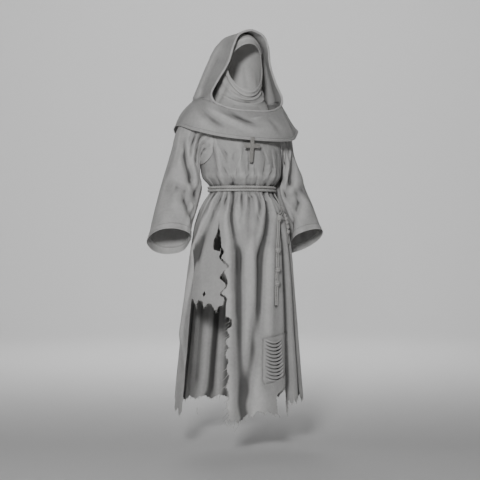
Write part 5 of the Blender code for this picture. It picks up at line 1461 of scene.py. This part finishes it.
def hoodEdgeLine():
    points, away = [], []
    ups = np.linspace(0.0, 1.0, 60)
    for side, rows in ((1, ups), (-1, ups[-2::-1])):
        edge = hoodPlace(side)(0 * rows, rows)
        points.append(edge)
        away.append(edge - hoodPlace(side)(0 * rows + 0.02, rows))
    angles = np.linspace(-hood["corner"], hood["corner"], 50)[1:-1]
    edge = capePlace(angles, 0 * angles)
    points.append(edge)
    away.append(edge - capePlace(angles, 0 * angles + 0.03))
    points, away = np.concatenate(points), unit(np.concatenate(away))
    for _ in range(6):
        away = unit(away + 0.5 * (np.roll(away, 1, axis=0) + np.roll(away, -1, axis=0)))
    return points, away


def buildHoodEdge(cloths):
    points, away = hoodEdgeLine()
    radius = hood["edgeRadius"]
    trees = skinsOf(cloths) + [wholeTree(made) for made in cloths]
    moved = points + away * radius
    for _ in range(8):
        for i in range(len(moved)):
            near = min(tree.find_nearest(Vector(moved[i]))[3] for tree in trees)
            if near < radius + 0.0002:
                moved[i] += away[i] * (radius + 0.0002 - near)
    moved = smoothed(moved, 3, True)
    moved = resampled(moved, 0.006, True)
    across, up = frameOf(moved, unit(moved - moved.mean(axis=0)), True)
    # rolled cloth: thicker and thinner by turns, a little twisted
    span = np.arange(len(moved))
    thick = radius * (1.0 + 0.07 * np.sin(span * 0.9) + 0.05 * np.sin(span * 0.37 + 1))
    rolled = swept(moved, across, up, thick * 1.05, thick, 14, True)
    made = joined("hoodRolledEdge", [rolled], habitCloth)
    run = np.linspace(0, 1.6, len(moved))
    uv = np.stack([np.tile(np.linspace(0, 0.026, 14), len(moved)), np.repeat(run, 14)], axis=1)
    layer = made.data.uv_layers.new(name="weave")
    corners = np.empty(len(made.data.loops), np.int32)
    made.data.loops.foreach_get("vertex_index", corners)
    layer.data.foreach_set("uv", uv.astype(np.float32)[corners].ravel())
    # the whole rolled edge gets the painted highlight of a ridge
    setHollow(made, np.full(len(made.data.vertices), -1.0))
    return made


def wholeTree(made):
    points = [v.co.copy() for v in made.data.vertices]
    return BVHTree.FromPolygons(points, [tuple(f.vertices) for f in made.data.polygons])


hoodRight, hoodLeft = buildHood()
hoodEdge = buildHoodEdge([capeFront, hoodRight, hoodLeft])
finishPiece(hoodRight, "habit_cloth", "hood_right")
finishPiece(hoodLeft, "habit_cloth", "hood_left")
finishPiece(hoodEdge, "habit_cloth", "hood_edge")
print("hood", len(hoodRight.data.polygons), len(hoodEdge.data.polygons))

# Wimple

wimple = {
    "thick": 0.0016,
    "columns": 132,
    "rings": table(
        "along frontY frontZ backY backZ halfWidth setback lift",
        (0.00, -0.097, 0.058, -0.100, 0.245, 0.077, 0.050, 0.000),
        (0.07, -0.099, 0.048, -0.082, 0.278, 0.083, 0.048, 0.000),
        (0.16, -0.088, 0.038, -0.010, 0.300, 0.087, 0.030, 0.000),
        (0.27, -0.078, 0.030, 0.075, 0.262, 0.090, 0.000, 0.000),
        (0.38, -0.073, 0.022, 0.108, 0.190, 0.094, -0.010, 0.004),
        (0.50, -0.071, 0.010, 0.104, 0.110, 0.104, -0.010, 0.010),
        (0.62, -0.074, -0.004, 0.096, 0.056, 0.110, -0.006, 0.016),
        (0.74, -0.088, -0.020, 0.104, 0.026, 0.116, 0.000, 0.022),
        (0.87, -0.108, -0.042, 0.120, 0.004, 0.120, 0.000, 0.0290),
        (1.00, -0.120, -0.066, 0.138, -0.020, 0.122, 0.000, 0.0304),
    ),
    "rolls": table("along width depth", (0.20, 0.045, 0.006), (0.40, 0.055, 0.0075), (0.60, 0.055, 0.007)),
    "wrinkles": table(
        "angle along lowAngle lowAlong width depth",
        (-62, 0.16, -20, 0.27, 3.6, -0.0024),
        (-66, 0.34, -16, 0.29, 3.4, -0.0022),
        (-70, 0.52, 6, 0.50, 3.6, -0.0026),
        (66, 0.18, 22, 0.30, 3.6, -0.0024),
        (70, 0.38, 14, 0.31, 3.4, -0.0020),
        (72, 0.54, -4, 0.51, 3.6, -0.0024),
        (-40, 0.44, 34, 0.42, 2.6, 0.0012),
        (-30, 0.70, -44, 0.98, 4.0, -0.0022),
        (24, 0.70, 36, 0.98, 4.0, -0.0022),
        (-58, 0.34, -70, 0.80, 5.0, -0.0045),
        (-78, 0.32, -88, 0.80, 5.0, -0.0040),
        (58, 0.34, 70, 0.80, 5.0, -0.0045),
        (78, 0.32, 88, 0.80, 5.0, -0.0040),
        (-100, 0.40, -112, 0.90, 5.0, -0.0026),
        (100, 0.40, 112, 0.90, 5.0, -0.0026),
        (-140, 0.40, -146, 0.92, 6.0, -0.0026),
        (140, 0.40, 146, 0.92, 6.0, -0.0026),
        (178, 0.36, 180, 0.92, 6.0, -0.0024),
    ),
}


def wimpleForm(angle, along):
    turn = np.radians(angle)
    rings = wimple["rings"]
    row = {name: through(rings["along"], rings[name], along) for name in rings}
    front, back = 0.5 * (1 + np.cos(turn)), 0.5 * (1 - np.cos(turn))
    side = np.sin(turn) ** 2
    x = row["halfWidth"] * np.sin(turn)
    y = row["frontY"] * front + row["backY"] * back + row["setback"] * side
    z = row["frontZ"] * front + row["backZ"] * back + row["lift"] * side
    return np.stack([x, y, z], axis=1)


def wimplePlace(angle, along):
    angle, along = np.asarray(angle, float), np.asarray(along, float)
    out = normalsOf(wimpleForm, angle, along, 1.0, 0.005) * -1
    turned = 1.0 - np.cos(np.radians(angle))
    facing = ease((1.05 - turned) / 0.7)
    rolls = np.zeros(len(along))
    for middle, width, depth in zip(*wimple["rolls"].values()):
        rolls += depth * bump(along + 0.11 * turned, middle, width)
    wrapped = (angle + 180.0) % 360.0 - 180.0
    depth = facing * rolls + creased(wimple["wrinkles"], wrapped, along, 110.0)
    depth -= 0.0007 * bump(along, 0.030, 0.007) - 0.0006 * bump(along, 0.010, 0.008)
    return wimpleForm(angle, along) + out * depth[:, None]


def buildWimple():
    rows = np.concatenate([np.linspace(0, 0.05, 9)[:-1], np.linspace(0.05, 1.0, 78)])
    over = skinsOf(tunicPanels)
    return tube("neckCloth", wimplePlace, wimple["columns"], rows, wimple["thick"], linen, flip=True,
                deltas=(0.8, 0.004), over=over, gap=0.0010, metres=(0.0014, 0.55))


def buildCoifBand():
    def place(angle, along):
        angle, along = np.asarray(angle, float), np.asarray(along, float)
        out = normalsOf(wimplePlace, angle, along, 1.0, 0.005) * -1
        # a piped fold near the band's back edge and a turned one at its front
        pipe = 0.0022 * bump(along, 0.052, 0.006) + 0.0006 * bump(along, 0.006, 0.005)
        return wimplePlace(angle, along) + out * (wimple["thick"] + lyingGap + pipe)[:, None]

    rows = np.linspace(0.0, 0.10, 21)
    columns = np.linspace(120.0, 240.0, 81)
    outline = [(angle, 0.0) for angle in columns]
    outline += [(240.0, along) for along in rows[1:]]
    outline += [(angle, 0.10) for angle in columns[-2::-1]]
    outline += [(120.0, along) for along in rows[-2:0:-1]]
    grid = [(angle, along) for along in rows for angle in columns]
    return panel("coifBand", place, outline, grid, (1.5, 0.005), wimple["thick"], linen, flip=True,
                 deltas=(1.0, 0.004), metres=(0.0014, 0.55))


wimpleCloth = finishPiece(buildWimple(), "linen", "wimple")
coifBand = finishPiece(buildCoifBand(), "linen", "coif_band")
print("wimple", len(wimpleCloth.data.polygons))

# Rope belt, its two hanging ends and the cross

belt = {
    "radius": 0.0061,
    "strands": 3,
    "turnLength": 0.034,
    "frontEnd": table(
        "angle height width thickness knot",
        (62.0, 1.0735, 0.0084, 0.0040, 0),
        (63.0, 1.045, 0.0084, 0.0040, 0),
        (60.0, 1.020, 0.0084, 0.0040, 0),
        (50.0, 0.995, 0.0084, 0.0040, 0),
        (36.0, 0.978, 0.0084, 0.0040, 0),
        (30.5, 0.968, 0.0134, 0.0094, 1),
        (29.6, 0.956, 0.0084, 0.0042, 0),
        (27.2, 0.920, 0.0084, 0.0042, 0),
        (24.6, 0.880, 0.0084, 0.0042, 0),
        (22.5, 0.848, 0.0084, 0.0042, 0),
        (21.8, 0.833, 0.0138, 0.0094, 1),
        (21.2, 0.818, 0.0084, 0.0042, 0),
        (19.8, 0.772, 0.0084, 0.0042, 0),
        (19.2, 0.757, 0.0138, 0.0094, 1),
        (18.7, 0.742, 0.0084, 0.0042, 0),
        (18.0, 0.714, 0.0084, 0.0042, 0),
        (17.6, 0.7005, 0.0134, 0.0094, 1),
        (17.3, 0.686, 0.0084, 0.0042, 0),
        (16.8, 0.650, 0.0082, 0.0042, 0),
        (16.2, 0.614, 0.0074, 0.0040, 0),
    ),
    "hipEnd": table(
        "angle height width thickness knot",
        (76.0, 1.0735, 0.0044, 0.0040, 0),
        (75.0, 1.035, 0.0044, 0.0040, 0),
        (68.0, 1.005, 0.0044, 0.0040, 0),
        (58.0, 0.990, 0.0044, 0.0040, 0),
        (54.0, 0.982, 0.0086, 0.0076, 1),
        (52.4, 0.973, 0.0046, 0.0042, 0),
        (51.6, 0.966, 0.0086, 0.0076, 1),
        (51.4, 0.957, 0.0046, 0.0042, 0),
        (51.8, 0.950, 0.0086, 0.0076, 1),
        (52.0, 0.940, 0.0046, 0.0042, 0),
        (52.0, 0.932, 0.0086, 0.0076, 1),
        (52.4, 0.922, 0.0046, 0.0042, 0),
        (53.6, 0.912, 0.0090, 0.0078, 1),
        (54.0, 0.900, 0.0044, 0.0040, 0),
        (53.6, 0.880, 0.0044, 0.0040, 0),
        (53.0, 0.864, 0.0042, 0.0038, 0),
    ),
}


def settled(points, out, trees, gaps, closed=False):
    points = points.copy()
    last = len(points) if closed else len(points) - 1
    for _ in range(20):
        worst = 0.0
        for i in range(last):
            k = (i + 1) % len(points)
            for t in (0.0, 0.5):
                spot = points[i] * (1 - t) + points[k] * t
                short = lack(spot, trees, gaps[i] * (1 - t) + gaps[k] * t)[0]
                worst = max(worst, short)
                points[i] += out[i] * short * (1 - t)
                points[k] += out[k] * short * t
        if worst < 1e-5:
            break
    return points


tunicSkins = skinsOf(tunicPanels)


def buildBelt():
    angles = np.arange(0.0, 360.0, 3.0)
    out = np.stack([np.sin(np.radians(angles)), -np.cos(np.radians(angles)), 0 * angles], axis=1)
    rings = []
    for name, side in (("beltLower", -1), ("beltUpper", 1)):
        height = tunic["beltHeight"] + side * (belt["radius"] + 0.00015) + 0 * angles
        points = bodyForm(angles, height) + out * belt["radius"]
        points = settled(points, out, tunicSkins, belt["radius"] + 0.0004 + 0 * angles, closed=True)
        points = smoothed(points, 6, True)
        points = settled(points, out, tunicSkins, belt["radius"] + 0.0002 + 0 * angles, closed=True)
        line = resampled(points, 0.0030, True)
        across, up = frameOf(line, unit(line * np.array([1, 1, 0])), True)
        pieces = strands(line, across, up, belt["radius"], belt["strands"], belt["turnLength"], True)
        rings.append(joined(name, pieces, yarn))
    return rings


beltLower, beltUpper = buildBelt()
finishPiece(beltLower, "rope", "belt_lower")
finishPiece(beltUpper, "rope", "belt_upper")
print("belt", len(beltUpper.data.polygons))


def knotPieces(centre, along, across, up, wide, thick):  # two turns of cord wrapped round the strands
    turns = np.linspace(0.0, 4 * np.pi, 49)
    half = 0.42 * thick
    lead = (turns / (2 * np.pi) - 1.0) * half * 1.9
    line = centre + lead[:, None] * along + np.cos(turns)[:, None] * across * (wide - half)
    line = line + np.sin(turns)[:, None] * up * (thick - half)
    way = line - centre - lead[:, None] * along
    own, other = frameOf(line, unit(way))
    core = centre + np.linspace(-1.15, 1.15, 7)[:, None] * along * thick
    fat = np.sqrt(np.clip(1 - (np.linspace(-1.1, 1.1, 7) / 1.2) ** 2, 0.1, 1))
    return [swept(line, own, other, half, half, 8),
            swept(core, np.tile(across, (7, 1)), np.tile(up, (7, 1)), fat * wide * 0.8, fat * thick * 0.8, 10)]


def buildCord(name, rows, gap, double):
    angle, height = rows["angle"], rows["height"]
    out = normalsOf(bodyForm, angle, height, 0.2, 0.002)
    knots = rows["knot"] > 0
    at = np.concatenate([[0.0], np.cumsum(np.hypot(np.diff(angle) * 0.0035, np.diff(height)))])
    stations = np.linspace(0.0, at[-1], int(at[-1] / 0.003))
    fineAngle, fineHeight = np.interp(stations, at, angle), np.interp(stations, at, height)
    fineOut = normalsOf(bodyForm, fineAngle, fineHeight, 0.2, 0.002)
    thick = np.interp(stations, at, np.where(knots, 0.0044, rows["thickness"]))
    for place, size in zip(at[knots], rows["thickness"][knots]):
        thick = np.maximum(thick, size - np.abs(stations - place) * 0.5)
    wide = np.interp(stations, at[~knots], rows["width"][~knots])
    low = tunicPlace(fineAngle, fineHeight) + fineOut * thick[:, None]
    line = settled(low, fineOut, tunicSkins, thick + gap)
    line = smoothed(line, 8)
    line = settled(line, fineOut, tunicSkins, thick + gap)
    across, up = frameOf(line, fineOut)
    radius = np.interp(stations, at[~knots], rows["thickness"][~knots])
    pieces, knotted = [], []
    if double:
        for side in (-1, 1):
            own = line + across * side * (wide - radius * 0.92)[:, None]
            pieces += strands(own, across, up, float(radius.mean()) * 0.92, 2, 0.013, sides=6)
    else:
        pieces += strands(line, across, up, float(radius.mean()), 3, 0.016, sides=6)
    for place, knotWide, knotThick in zip(at[knots], rows["width"][knots], rows["thickness"][knots]):
        i = int(np.argmin(np.abs(stations - place)))
        knotted += knotPieces(line[i], alongOf(line)[i], across[i], up[i], knotWide, knotThick)
    return joined(name, pieces, yarn), joined(name + "Knots", knotted, yarn), line


cordFront, frontKnots, frontLine = buildCord("cordFront", belt["frontEnd"], 0.0006, True)
cordHip, hipKnots, hipLine = buildCord("cordHip", belt["hipEnd"], 0.0006, False)
finishPiece(cordFront, "rope", "cord_front")
finishPiece(cordHip, "rope", "cord_hip")
finishPiece(frontKnots, "rope")
finishPiece(hipKnots, "rope")


def shadeUnder(cloth, lines, reach):  # painted shadow on the cloth along both sides of a cord
    values = np.empty(len(cloth.data.vertices), np.float32)
    layer = cloth.data.attributes["hollow"].data
    layer.foreach_get("value", values)
    points = np.empty(3 * len(values), np.float32)
    cloth.data.vertices.foreach_get("co", points)
    points = points.reshape(-1, 3)
    for line in lines:
        near = np.flatnonzero(((points > line.min(axis=0) - 0.03) & (points < line.max(axis=0) + 0.03)).all(axis=1))
        away = np.linalg.norm(points[near, None, :] - line[None, :, :], axis=2).min(axis=1)
        values[near] = np.clip(values[near] + 1.5 * bump(away, 0.0, reach), -1.5, 1.5)
    layer.foreach_set("value", values)


# painted contact shadow on the front panel along both hanging cords
shadeUnder(habitFront, [frontLine, hipLine], 0.013)
print("cords", len(cordFront.data.polygons), len(cordHip.data.polygons))

cross = {
    "height": 0.105,
    "width": 0.070,
    "bar": 0.017,
    "thick": 0.0040,
    "top": (-0.024, -0.166, -0.144),
    "lean": 9.0,
    "shoulder": -0.036,
    "bevel": 0.0011,
}


def buildCross():
    bar, arm, shoulder = cross["bar"] / 2, cross["width"] / 2, cross["shoulder"]
    tall = cross["height"]
    outline = [
        (-bar, 0.0), (-bar, shoulder + bar), (-arm, shoulder + bar), (-arm, shoulder - bar),
        (-bar, shoulder - bar), (-bar, -tall + bar / 2), (0.0, -tall), (bar, -tall + bar / 2),
        (bar, shoulder - bar), (arm, shoulder - bar), (arm, shoulder + bar), (bar, shoulder + bar), (bar, 0.0),
    ]
    lean = math.radians(cross["lean"])
    back = np.array([(x, -z * math.sin(lean), z * math.cos(lean)) for x, z in outline]) + cross["top"]
    trees = skinsOf([*tunicPanels, capeFront])
    after = np.roll(back, -1, axis=0)
    spots = np.concatenate([back + (after - back) * t for t in np.linspace(0.0, 1.0, 9)[:-1]])
    while max(lack(spot, trees, lyingGap)[0] for spot in spots) > 0:
        spots[:, 1] -= 0.0002
    back = spots[: len(outline)]
    front = back + np.array([0.0, -math.cos(lean), -math.sin(lean)]) * cross["thick"]
    count = len(outline)
    faces = [tuple(range(count))[::-1], tuple(range(count, 2 * count))]
    faces += [(i, (i + 1) % count, count + (i + 1) % count, count + i) for i in range(count)]
    made = meshObject("woodenCross", np.concatenate([back, front]), faces, darkWood)
    rounded = made.modifiers.new("rounded", "BEVEL")
    rounded.width = cross["bevel"]
    rounded.segments = 3
    rounded.limit_method = "ANGLE"
    rounded.angle_limit = math.radians(40)
    held = bpy.context.evaluated_depsgraph_get()
    mesh = bpy.data.meshes.new_from_object(made.evaluated_get(held))
    made.modifiers.remove(rounded)
    made.data = mesh
    made.data.set_sharp_from_angle(angle=math.radians(35))
    return made


crossPiece = finishPiece(buildCross(), "wood", "cross")
print("cross", len(crossPiece.data.polygons))

# Sewing, repeated along lines by one node tree

stitch = {
    "length": 0.0042,
    "pitch": 0.0072,
    "thick": 0.00042,
}


def stitchTree(finish):  # small stitches stood along each line, lying on the cloth
    tree = bpy.data.node_groups.new("stitchRow", "GeometryNodeTree")
    tree.interface.new_socket("Geometry", in_out="INPUT", socket_type="NodeSocketGeometry")
    for name, value in (("Pitch", stitch["pitch"]), ("Length", stitch["length"]), ("Thickness", stitch["thick"])):
        socket = tree.interface.new_socket(name, in_out="INPUT", socket_type="NodeSocketFloat")
        socket.default_value = value
    tree.interface.new_socket("Geometry", in_out="OUTPUT", socket_type="NodeSocketGeometry")
    entry, leave = tree.nodes.new("NodeGroupInput"), tree.nodes.new("NodeGroupOutput")
    line = tree.nodes.new("GeometryNodeMeshToCurve")
    tree.links.new(entry.outputs["Geometry"], line.inputs["Mesh"])
    spaced = tree.nodes.new("GeometryNodeResampleCurve")
    spaced.mode = "LENGTH"
    tree.links.new(line.outputs["Curve"], spaced.inputs["Curve"])
    tree.links.new(entry.outputs["Pitch"], spaced.inputs["Length"])
    tangent = tree.nodes.new("GeometryNodeInputTangent")
    outward = tree.nodes.new("GeometryNodeInputNamedAttribute")
    outward.data_type = "FLOAT_VECTOR"
    outward.inputs["Name"].default_value = "outward"
    first = tree.nodes.new("FunctionNodeAlignRotationToVector")
    first.axis = "X"
    tree.links.new(tangent.outputs["Tangent"], first.inputs["Vector"])
    second = tree.nodes.new("FunctionNodeAlignRotationToVector")
    second.axis = "Z"
    second.pivot_axis = "X"
    tree.links.new(first.outputs["Rotation"], second.inputs["Rotation"])
    tree.links.new(outward.outputs["Attribute"], second.inputs["Vector"])
    shape = tree.nodes.new("GeometryNodeMeshUVSphere")
    shape.inputs["Segments"].default_value = 6
    shape.inputs["Rings"].default_value = 5
    shape.inputs["Radius"].default_value = 0.5
    size = tree.nodes.new("ShaderNodeCombineXYZ")
    tree.links.new(entry.outputs["Length"], size.inputs["X"])
    tree.links.new(entry.outputs["Thickness"], size.inputs["Y"])
    tree.links.new(entry.outputs["Thickness"], size.inputs["Z"])
    place = tree.nodes.new("GeometryNodeInstanceOnPoints")
    tree.links.new(spaced.outputs["Curve"], place.inputs["Points"])
    tree.links.new(shape.outputs["Mesh"], place.inputs["Instance"])
    tree.links.new(second.outputs["Rotation"], place.inputs["Rotation"])
    tree.links.new(size.outputs["Vector"], place.inputs["Scale"])
    real = tree.nodes.new("GeometryNodeRealizeInstances")
    tree.links.new(place.outputs["Instances"], real.inputs["Geometry"])
    coat = tree.nodes.new("GeometryNodeSetMaterial")
    coat.inputs["Material"].default_value = finish
    tree.links.new(real.outputs["Geometry"], coat.inputs["Geometry"])
    tree.links.new(coat.outputs["Geometry"], leave.inputs["Geometry"])
    return tree


sewing = stitchTree(sewingThread)


def sewn(name, place, lines, flip=False, deltas=(0.2, 0.002), lift=stitchLift, trees=(), pitch=None):
    # stitches along lines drawn on the flat cloth
    points, edges, outs, start = [], [], [], 0
    for u, v in lines:
        u, v = np.asarray(u, float), np.asarray(v, float)
        out = normalsOf(place, u, v, *deltas) * (-1 if flip else 1)
        run = place(u, v) + out * lift
        if trees:
            for i in range(len(run)):
                spot, normal, *_ = trees[0].find_nearest(Vector(run[i]), 0.02)
                if spot is not None:
                    run[i] = np.array(spot) + np.array(normal) * lift
                    out[i] = np.array(normal)
        points.append(run)
        outs.append(out)
        edges += [(start + i, start + i + 1) for i in range(len(run) - 1)]
        start += len(run)
    mesh = bpy.data.meshes.new(name)
    mesh.from_pydata([tuple(p) for p in np.concatenate(points)], edges, [])
    outward = mesh.attributes.new("outward", "FLOAT_VECTOR", "POINT")
    outward.data.foreach_set("vector", np.concatenate(outs).astype(np.float32).ravel())
    made = bpy.data.objects.new(name, mesh)
    bpy.context.scene.collection.objects.link(made)
    rowOf = made.modifiers.new("stitches", "NODES")
    rowOf.node_group = sewing
    for item in sewing.interface.items_tree:
        if item.in_out == "INPUT" and item.name == "Pitch" and pitch:
            rowOf[item.identifier] = pitch
    held = bpy.context.evaluated_depsgraph_get()
    real = bpy.data.meshes.new_from_object(made.evaluated_get(held))
    made.modifiers.remove(rowOf)
    made.data = real
    made.data.shade_smooth()
    return made


def buildSewing():
    made = {}
    hemLine = sleeve["hem"]
    for name, side in (("sleeveRight", -1), ("sleeveLeft", 1)):
        ring = np.linspace(0.0, 360.0, 121)
        lines = [(ring, 0 * ring + hemLine), (ring, 0 * ring + 0.028)]
        cloth = sleeveRight if side < 0 else sleeveLeft
        seam = np.linspace(0.05, hemLine, 80)
        lines.append((0 * seam + 180.0, seam))
        piece = sewn(name + "Stitches", sleevePlace(side), lines, side < 0, (0.5, 0.0015), trees=skinsOf([cloth]))
        made[name] = finishPiece(piece, "habit_cloth")
    front, back = np.linspace(-89.0, 89.0, 90), np.linspace(91.0, 269.0, 90)
    for name, run, cloth in (("capeFront", front, capeFront), ("capeBack", back, capeBack)):
        lines = [(run, 0 * run + 0.90), (run, 0 * run + 0.05)]
        piece = sewn(name + "Stitches", capePlace, lines, True, (0.5, 0.004), trees=skinsOf([cloth]))
        made[name] = finishPiece(piece, "habit_cloth")
    for name, side, cloth in (("hoodRight", -1, hoodRight), ("hoodLeft", 1, hoodLeft)):
        rise, back = np.linspace(0.03, 0.99, 60), np.linspace(0.05, 0.99, 60)
        lines = [(0 * rise + 0.045, rise), (0 * rise + 0.975, rise), (back, 0 * back + 0.022)]
        piece = sewn(name + "Stitches", hoodPlace(side), lines, side < 0, (0.004, 0.004), trees=skinsOf([cloth]))
        made[name] = finishPiece(piece, "habit_cloth")
    return made


stitches = buildSewing()
print("sewing", sum(len(piece.data.polygons) for piece in stitches.values()))

# The stitches round the patch, and the threads that hang from the torn edges

looseThreads = {
    "radius": 0.0013,
    "seed": 17,
    "frayLength": 0.014,
    "frayRadius": 0.00055,
    "long": table(
        "angle height drop sway curl",
        (-27.5, 0.166, 0.030, -0.016, 0.3),
        (-22.0, 0.150, 0.034, -0.020, 0.6),
        (-29.8, 0.200, 0.036, -0.012, -0.4),
        (-60.0, 0.208, 0.026, 0.006, 0.5),
        (12.3, 0.186, 0.022, 0.014, -0.6),
        (26.6, 0.180, 0.018, 0.004, 0.4),
        (-31.0, 0.556, 0.016, -0.024, 0.5),
        (-31.5, 0.541, 0.020, -0.027, -0.4),
        (-32.5, 0.523, 0.014, -0.022, 0.6),
        (-31.0, 0.502, 0.020, -0.025, 0.3),
        (-32.5, 0.478, 0.027, -0.020, -0.5),
        (-31.0, 0.452, 0.018, -0.024, 0.5),
        (-32.5, 0.372, 0.020, -0.022, 0.4),
        (-31.5, 0.345, 0.028, -0.028, -0.5),
        (-31.0, 0.315, 0.032, -0.030, 0.5),
        (-30.5, 0.252, 0.020, -0.018, 0.4),
        (-31.0, 0.228, 0.027, -0.022, -0.3),
        (-30.5, 0.205, 0.035, -0.025, 0.5),
        (-30.5, 0.185, 0.042, -0.028, 0.4),
        (-25.5, 0.164, 0.036, -0.006, 0.3),
        (-20.0, 0.160, 0.024, 0.002, -0.3),
        (-16.5, 0.176, 0.020, 0.004, 0.4),
        (-44.5, 0.612, 0.026, -0.004, 0.5),
        (-58.5, 0.630, 0.022, 0.006, -0.4),
        (-71.0, 0.625, 0.024, 0.004, 0.4),
        (-44.4, 0.845, 0.022, 0.002, 0.4),
        (-36.6, 0.700, 0.018, 0.002, 0.4),
        (2.0, 0.306, 0.032, -0.010, 0.5),
        (8.0, 0.302, 0.020, 0.010, -0.7),
        (140.0, 0.216, 0.024, 0.004, 0.4),
        (176.0, 0.204, 0.026, 0.004, -0.4),
        (225.0, 0.220, 0.024, 0.004, 0.4),
    ),
}


def threadPieces(start, out, across, drop, sway, curl, radius):
    t = np.linspace(0.0, 1.0, 9)
    down = np.array([0.0, 0.0, -1.0])
    line = start + (t[:, None] ** 1.1) * down * drop + (t[:, None] ** 1.6) * across * sway
    line = line + np.sin(t * np.pi)[:, None] * out * 0.0022 * (1 + abs(curl))
    line = line + (np.sin(t * 2 * np.pi) * curl * 0.003)[:, None] * across
    own, other = frameOf(line, np.tile(out, (len(t), 1)))
    thin = radius * (1.0 - 0.45 * t)
    return swept(line, own, other, thin, thin, 5)


def frayPieces(line, place, seed, length, every):  # short fibres all along a torn edge
    random = np.random.default_rng(seed)
    pieces = []
    flat = line * np.array([0.0042, 1.0])
    run = np.concatenate([[0.0], np.cumsum(np.linalg.norm(np.diff(flat, axis=0), axis=1))])
    at = np.arange(0.0, run[-1], every)
    at = at + random.uniform(-0.4, 0.4, len(at)) * every
    angle, height = np.interp(at, run, line[:, 0]), np.interp(at, run, line[:, 1])
    spot = place(angle, height)
    out = normalsOf(place, angle, height, 0.2, 0.002)
    side = unit(np.cross(np.array([0.0, 0.0, 1.0]), out))
    for i in range(len(at)):
        reach = length * random.uniform(0.25, 1.0)
        pieces.append(threadPieces(spot[i] - out[i] * 0.0010, out[i] * 0.3, side[i], reach,
                                   reach * random.normal(0, 0.45), random.normal(0, 0.35),
                                   looseThreads["frayRadius"]))
    return pieces


def buildFray():
    made = {}
    front = []
    seed = looseThreads["seed"]
    for k, name in enumerate(("thigh", "ripLeft", "ripRight", "edge", "hem")):
        front += frayPieces(tornLines[name], tunicPlace, seed + k, looseThreads["frayLength"], 0.0052)
    backs = {}
    for k, name in enumerate(("backHemLeft", "backHemRight")):
        backs[name] = frayPieces(tornLines[name], tunicPlace, seed + 9 + k, looseThreads["frayLength"], 0.0060)
    rows = looseThreads["long"]
    spot = tunicPlace(rows["angle"], rows["height"])
    out = normalsOf(tunicPlace, rows["angle"], rows["height"], 0.2, 0.002)
    for i in range(len(spot)):
        side = unit(np.cross(np.array([[0.0, 0.0, 1.0]]), out[i : i + 1]))[0]
        thread = threadPieces(spot[i] - out[i] * 0.001, out[i], side, rows["drop"][i], rows["sway"][i],
                              rows["curl"][i], looseThreads["radius"])
        angle = rows["angle"][i]
        (front if angle < tunic["leftSeam"] else backs["backHemLeft" if angle < 180 else "backHemRight"]).append(thread)
    made["front"] = finishPiece(joined("frayFront", front, yarn), "habit_cloth")
    made["backLeft"] = finishPiece(joined("frayBackLeft", backs["backHemLeft"], yarn), "habit_cloth")
    made["backRight"] = finishPiece(joined("frayBackRight", backs["backHemRight"], yarn), "habit_cloth")
    return made


fray = buildFray()
patchRing = np.concatenate([columnsOf(patchLine, "angle", "height"), [[34.0, 0.505]]])
patch = sewn("patchStitches", tunicPlace, [patchRing.T], trees=skinsOf([habitFront]), pitch=0.0060)
finishPiece(patch, "habit_cloth")
print("threads", sum(len(piece.data.polygons) for piece in fray.values()))

# Each piece of cloth with how it is held and what goes with it; the cloth areas and cord lengths are printed


def clothArea(made):  # one skin of it
    mesh = made.data
    return sum(face.area for face in mesh.polygons[: made["skin"]])


flatCloth = {
    "habitFront": (habitFront, "hung", [fray["front"], patch]),
    "habitBackLeft": (backLeft, "hung", [fray["backLeft"]]),
    "habitBackRight": (backRight, "hung", [fray["backRight"]]),
    "habitSleeveRight": (sleeveRight, "hung", [stitches["sleeveRight"]]),
    "habitSleeveLeft": (sleeveLeft, "hung", [stitches["sleeveLeft"]]),
    "capeFront": (capeFront, "draped", [stitches["capeFront"]]),
    "capeBack": (capeBack, "draped", [stitches["capeBack"]]),
    "hoodRight": (hoodRight, "draped", [stitches["hoodRight"]]),
    "hoodLeft": (hoodLeft, "draped", [stitches["hoodLeft"], hoodEdge]),
    "wimple": (wimpleCloth, "draped", []),
    "coifBand": (coifBand, "draped", []),
}
for name, (piece, held, others) in flatCloth.items():
    print("area", name, round(clothArea(piece), 4))


def lineLength(points):
    return float(np.linalg.norm(np.diff(points, axis=0), axis=1).sum())


for piece, knots, line, diameter in ((cordFront, frontKnots, frontLine, 0.0144), (cordHip, hipKnots, hipLine, 0.0088)):
    print("cord", piece.name, round(lineLength(line), 4))
